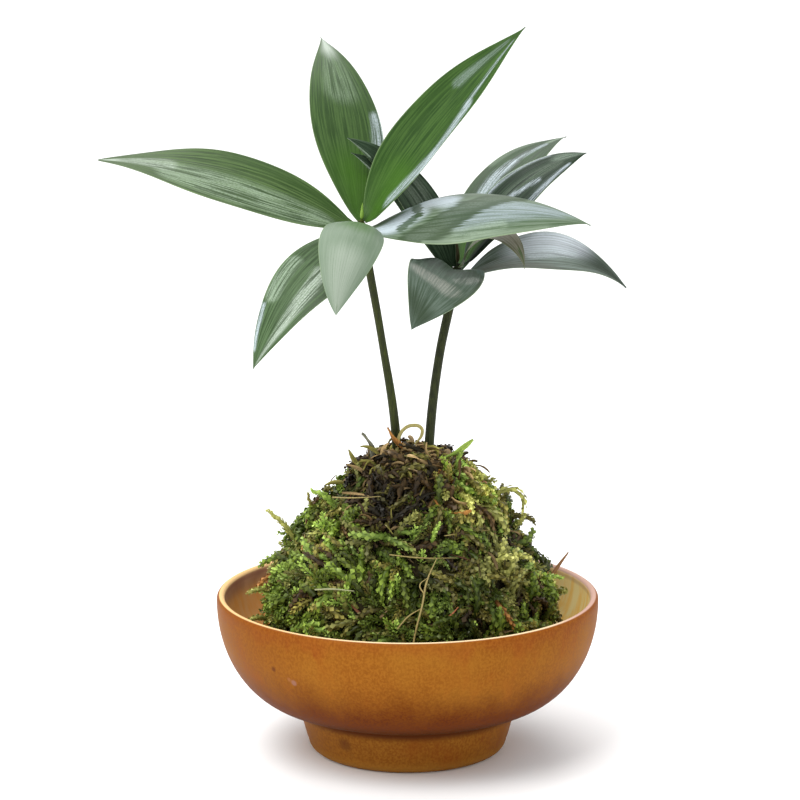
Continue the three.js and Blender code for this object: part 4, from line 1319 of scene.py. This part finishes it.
LEAF_LOOKS = {
    "left_plant_back_leaf": ((38, 62, 24), (62, 88, 42), (
        ((0, 0), (0.2, 0), 16, SOFT, 0.5, VIVID),
        ((0.6, 0), (0.75, 0), 10, BROKEN, 0.3, SAGE),
        ((0.9, 0), (1.05, 0), 13, SOFT, 0.8, (190, 200, 188)),
        ((0.26, -0.9), (0.46, -1), 5, BROKEN, 0.8, GLOSS_HIGHLIGHT),
        ((0.05, -0.7), (0.25, -0.8), 1.4, BROKEN, 0.6, SAGE),
    )),
    "left_plant_upright_leaf": ((36, 64, 20), (60, 90, 36), (
        ((0, 0), (0.2, 0), 13, SOFT, 0.5, VIVID),
        ((0.13, -0.45), (0.38, -0.85), 4.6, BROKEN, 1, GLOSS_HIGHLIGHT),
        ((0.38, -0.85), (0.62, -0.6), 3.4, BROKEN, 0.9, GLOSS_HIGHLIGHT),
        ((0.62, -0.5), (0.92, -0.3), 2.0, BROKEN, 0.7, GLOSS_HIGHLIGHT),
        ((0.66, 0.5), (0.9, 0.4), 3.0, BROKEN, 0.25, GLOSS_HIGHLIGHT),
    )),
    "left_plant_side_leaf": ((38, 60, 22), (72, 96, 50), (
        ((0.1, -0.6), (0.5, -0.9), 4.5, SOFT, 0.6, (44, 70, 24)),
        ((0.15, 0.45), (0.7, 0.35), 8.5, BROKEN, 0.55, SAGE),
        ((0.75, 0), (0.95, 0), 6, BROKEN, 0.6, PALE),
        ((0.95, 0), (1.02, 0), 5, SOFT, 0.6, PALE),
        ((0.2, 0.72), (0.6, 0.72), 0.9, SOFT, 0.5, DUSK),
    )),
    "left_plant_front_leaf": ((100, 118, 96), (112, 128, 108), (
        ((0, 0), (0.34, 0), 9, SOFT, 0.7, (78, 108, 60)),
        ((0.7, 0), (0.95, 0), 11, SOFT, 0.7, (150, 160, 146)),
        ((0.97, 0), (1.02, 0), 2, SOFT, 0.6, (100, 118, 90)),
    )),
    "left_plant_low_leaf": ((40, 62, 28), (76, 100, 64), (
        ((0, 0), (0.25, -0.3), 8, SOFT, 0.7, (46, 72, 30)),
        ((0.4, 0.2), (0.95, 0.5), 4.2, BROKEN, 0.75, PALE),
        ((0.68, -0.95), (0.9, -0.85), 2.2, BROKEN, 0.8, GLOSS_HIGHLIGHT),
        ((0.4, -0.75), (0.62, -0.7), 3.6, BROKEN, 0.7, SAGE),
        ((0.3, 0.85), (0.9, 0.95), 1.8, SOFT, 0.55, DUSK),
    )),
    "left_plant_crossing_leaf": ((74, 94, 66), (110, 126, 106), (
        ((0.42, -0.35), (0.85, -0.15), 8, SOFT, 0.4, (142, 154, 160)),
        ((0.42, -0.35), (0.85, -0.15), 8.5, BROKEN, 0.6, (160, 172, 182)),
        ((0.4, -0.9), (0.6, -0.75), 3, BROKEN, 0.4, SAGE),
        ((0.2, 0.7), (0.36, 0.3), 7, SOFT, 0.75, GLOSS_HIGHLIGHT),
        ((0.2, 0.7), (0.36, 0.3), 6.5, BROKEN, 1, GLOSS_HIGHLIGHT),
        ((0.07, -0.5), (0.22, 0), 7, SOFT, 0.75, GLOSS_HIGHLIGHT),
        ((0.07, -0.5), (0.22, 0), 6.5, BROKEN, 1, GLOSS_HIGHLIGHT),
        ((0.06, 0.5), (0.16, 0.95), 3.5, SOFT, 0.8, (52, 80, 36)),
        # Painted shadows: a hook and a broad dark band where the leaves above shade this one
        ((0.21, 0.85), (0.24, -0.1), 1.8, FIRM, 0.85, (54, 76, 44)),
        ((0.24, -0.1), (0.15, -0.55), 1.8, FIRM, 0.85, (54, 76, 44)),
        ((0.19, -1), (0.66, 0.45), 4.9, FIRM, 0.9, (50, 68, 42)),
        ((0.2, -0.9), (0.64, 0.45), 3.6, BROKEN, 0.2, (150, 164, 150)),
        ((0.25, -0.98), (0.8, -0.95), 1.6, SOFT, 0.6, (132, 148, 126)),
        ((0.9, -0.3), (1, 0), 4, SOFT, 0.6, (104, 124, 96)),
    )),
    "right_plant_arching_leaf": ((30, 48, 30), (62, 80, 60), (
        ((0.3, 0), (0.55, 0.2), 5, BROKEN, 0.4, GREY),
        ((0.84, -0.75), (1, -0.9), 0.8, SOFT, 0.7, SAGE),
    )),
    "right_plant_under_leaf": ((32, 48, 32), (60, 78, 58), (
        ((0, 0), (0.45, 0), 8, SOFT, 0.75, VIVID),
        ((0.84, -0.9), (1, -0.9), 0.8, SOFT, 0.7, SAGE),
    )),
    "right_plant_back_leaf": ((30, 48, 26), (60, 82, 54), (
        ((0, 0), (0.36, 0), 9, SOFT, 0.75, VIVID),
        ((0.62, 0.95), (0.98, 0.9), 3.2, SOFT, 0.2, SAGE),
        ((0.38, 0.4), (0.66, 0.2), 3, BROKEN, 0.75, GLOSS_HIGHLIGHT),
        ((0.66, 0.2), (0.86, -0.1), 2.4, BROKEN, 0.6, GLOSS_HIGHLIGHT),
        ((0.3, 0.75), (0.55, 0.8), 3, SOFT, 0.5, (44, 66, 34)),
        ((0.9, 0), (1.02, 0), 4, SOFT, 0.5, SAGE),
    )),
    "right_plant_upright_leaf": ((16, 34, 18), (46, 64, 46), (
        ((0, 0), (0.3, 0), 8, SOFT, 0.75, VIVID),
        ((0.36, 0.9), (0.8, 0.9), 1.4, BROKEN, 0.8, GLOSS_HIGHLIGHT),
        ((0.4, 0.1), (0.8, -0.1), 4.5, BROKEN, 0.2, SAGE),
        ((0.44, 0), (0.66, -0.35), 1.7, BROKEN, 0.9, GLOSS_HIGHLIGHT),
        ((0.46, -0.9), (0.86, -0.75), 1.7, BROKEN, 1, GLOSS_HIGHLIGHT),
        ((0.87, 0.4), (1.02, 0), 6, BROKEN, 0.7, (138, 156, 138)),
        ((0.4, 1), (0.9, 1), 1, SOFT, 0.5, SAGE),
    )),
    "right_plant_side_leaf": ((74, 88, 70), (132, 146, 138), (
        ((0.35, 0.6), (0.65, 0.7), 10, SOFT, 0.75, (202, 208, 216)),
        ((0.35, 0.6), (0.65, 0.7), 7, BROKEN, 0.8, (206, 214, 220)),
        ((0.44, 0.1), (0.62, 0.3), 5, BROKEN, 0.9, (200, 210, 214)),
        # Painted shadow of the short leaf
        ((0.12, -0.3), (0.5, -0.9), 5.5, SOFT, 0.7, (96, 98, 84)),
        ((0.84, 0.2), (1, 0), 18, SOFT, 0.8, (16, 26, 12)),
        ((0.3, -1), (0.9, -1), 1.4, SOFT, 0.7, (48, 54, 38)),
    )),
    "right_plant_front_leaf": ((60, 76, 60), (92, 106, 94), (
        ((0.6, -0.9), (0.63, 0.3), 6, SOFT, 0.55, (122, 130, 122)),
        ((0.6, -0.6), (0.62, 0.45), 5.5, BROKEN, 0.7, (150, 150, 140)),
        ((0.5, 0.45), (0.4, 0.8), 2.8, BROKEN, 0.9, (146, 150, 142)),
        ((0.22, 0.8), (0.3, 0.95), 2.5, SOFT, 0.5, (116, 138, 130)),
        ((0.86, -0.8), (0.9, 0.5), 9, SOFT, 0.7, (40, 56, 32)),
        ((0.42, 1), (0.7, 0.95), 1.8, SOFT, 0.6, (50, 64, 40)),
    )),
    "right_plant_short_leaf": ((90, 90, 70), (128, 126, 108), (
        ((0, 0), (0.4, 0), 7, SOFT, 0.7, VIVID),
        ((0.62, -0.5), (0.75, 0.3), 4, BROKEN, 0.6, TAUPE),
        ((0.88, 0), (1.02, 0), 3, FIRM, 0.85, (66, 88, 46)),
    )),
}

for number, (name, leaf) in enumerate(LEAVES.items()):
    blade = make_leaf(name, leaf, 0.7 * number)
    deep, fresh, bloom_and_light_patches = LEAF_LOOKS[name]
    skin = leaf_skin(name + "_skin", leaf, colour(*deep), colour(*fresh), bloom_and_light_patches)
    blade.data.materials.append(skin)
    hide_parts(name)
    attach(blade, "root")


# Buds
# A small closed bud stands in the middle of each whorl: a slim pointed body in overlapping scales.

BUD_GAP = 0.3 * MM
HEAD_TOP = 3.1 * MM


def bud_skin(name, dark, light):
    material = new_material(name, Roughness=0.5, Specular_IOR_Level=0.4)
    place = object_place(material)
    streak = grain(material, stretched(material, place, (1, 1, 0.2)), 1800, 2)
    to_shader(material, "Base Color", mix(material, streak, dark, light))
    return material


def make_bud(side, height, radius, lean):
    """A sphere drawn out to a point, ridged by the edges of its scales."""
    deselect_all()
    bpy.ops.mesh.primitive_uv_sphere_add(segments=24, ring_count=20, radius=1)
    piece = bpy.context.object
    piece.name = "bud_" + side + "_scales"
    ball = coordinates_of(piece)
    up = (ball[:, 2] + 1) / 2
    turn = np.arctan2(ball[:, 1], ball[:, 0])
    width = radius * np.sin(math.pi * up ** 0.62) ** 0.8 * (1 + 0.12 * np.cos(2 * turn + 5 * up))
    head = np.array(STEMS[side][-1][0]) * MM + (0, 0, HEAD_TOP - BUD_GAP)
    points = np.stack([
        head[0] + width * np.cos(turn) + lean * up ** 2,
        head[1] + width * np.sin(turn),
        head[2] + (height + BUD_GAP) * up,
    ], axis=-1)
    piece.data.vertices.foreach_set("co", points.ravel())
    piece.data.update()
    bpy.ops.object.shade_smooth()
    return piece


for side, height, radius, lean, dark, light in (
    ("left", 5.2 * MM, 0.62 * MM, 0.3 * MM, colour(84, 124, 32), colour(140, 172, 70)),
    ("right", 8 * MM, 0.9 * MM, -0.3 * MM, colour(62, 52, 34), colour(96, 84, 58)),
):
    bud = make_bud(side, height, radius, lean)
    bud.data.materials.append(bud_skin("bud_" + side + "_skin", dark, light))
    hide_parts("terminal_bud_" + side)
    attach(bud, "root")


# Studio
# A plain pale floor, a bright even surround, a broad soft light from above and behind, which glosses
# the leaves, and a soft lamp high on the left.

deselect_all()
bpy.ops.mesh.primitive_circle_add(vertices=96, radius=9, fill_type="NGON")
floor = bpy.context.object
floor.name = "floor"
floor_paint = new_material(
    "pale_floor", Base_Color=colour(252, 252, 251), Roughness=0.9, Specular_IOR_Level=0.1,
)
floor.data.materials.append(floor_paint)

deselect_all()
bpy.ops.object.light_add(type="SUN", location=(0, 0.6, 1))
sky_light = bpy.context.object
sky_light.name = "broad_light"
sky_light.data.energy = 1.4
sky_light.data.angle = math.radians(55)
sky_azimuth = math.radians(105)
sky_rise = math.radians(60)
towards_sky = Vector((
    math.cos(sky_azimuth) * math.cos(sky_rise),
    math.sin(sky_azimuth) * math.cos(sky_rise),
    math.sin(sky_rise),
))
sky_light.rotation_euler = (-towards_sky).to_track_quat("-Z", "Y").to_euler()

deselect_all()
left_lamp_place = Vector((-0.5, -0.6, 1.1))
bpy.ops.object.light_add(type="AREA", location=left_lamp_place)
left_lamp = bpy.context.object
left_lamp.name = "left_lamp"
left_lamp.data.size = 0.8
left_lamp.data.energy = 12
left_lamp.rotation_euler = (Vector((0, 0, 0.1)) - left_lamp_place).to_track_quat("-Z", "Y").to_euler()

world = bpy.data.worlds.new("surround")
world.use_nodes = True
background = world.node_tree.nodes["Background"]
background.inputs["Color"].default_value = (0.98, 0.985, 1, 1)
background.inputs["Strength"].default_value = 0.95
bpy.context.scene.world = world
bpy.context.scene.view_settings.view_transform = "Standard"
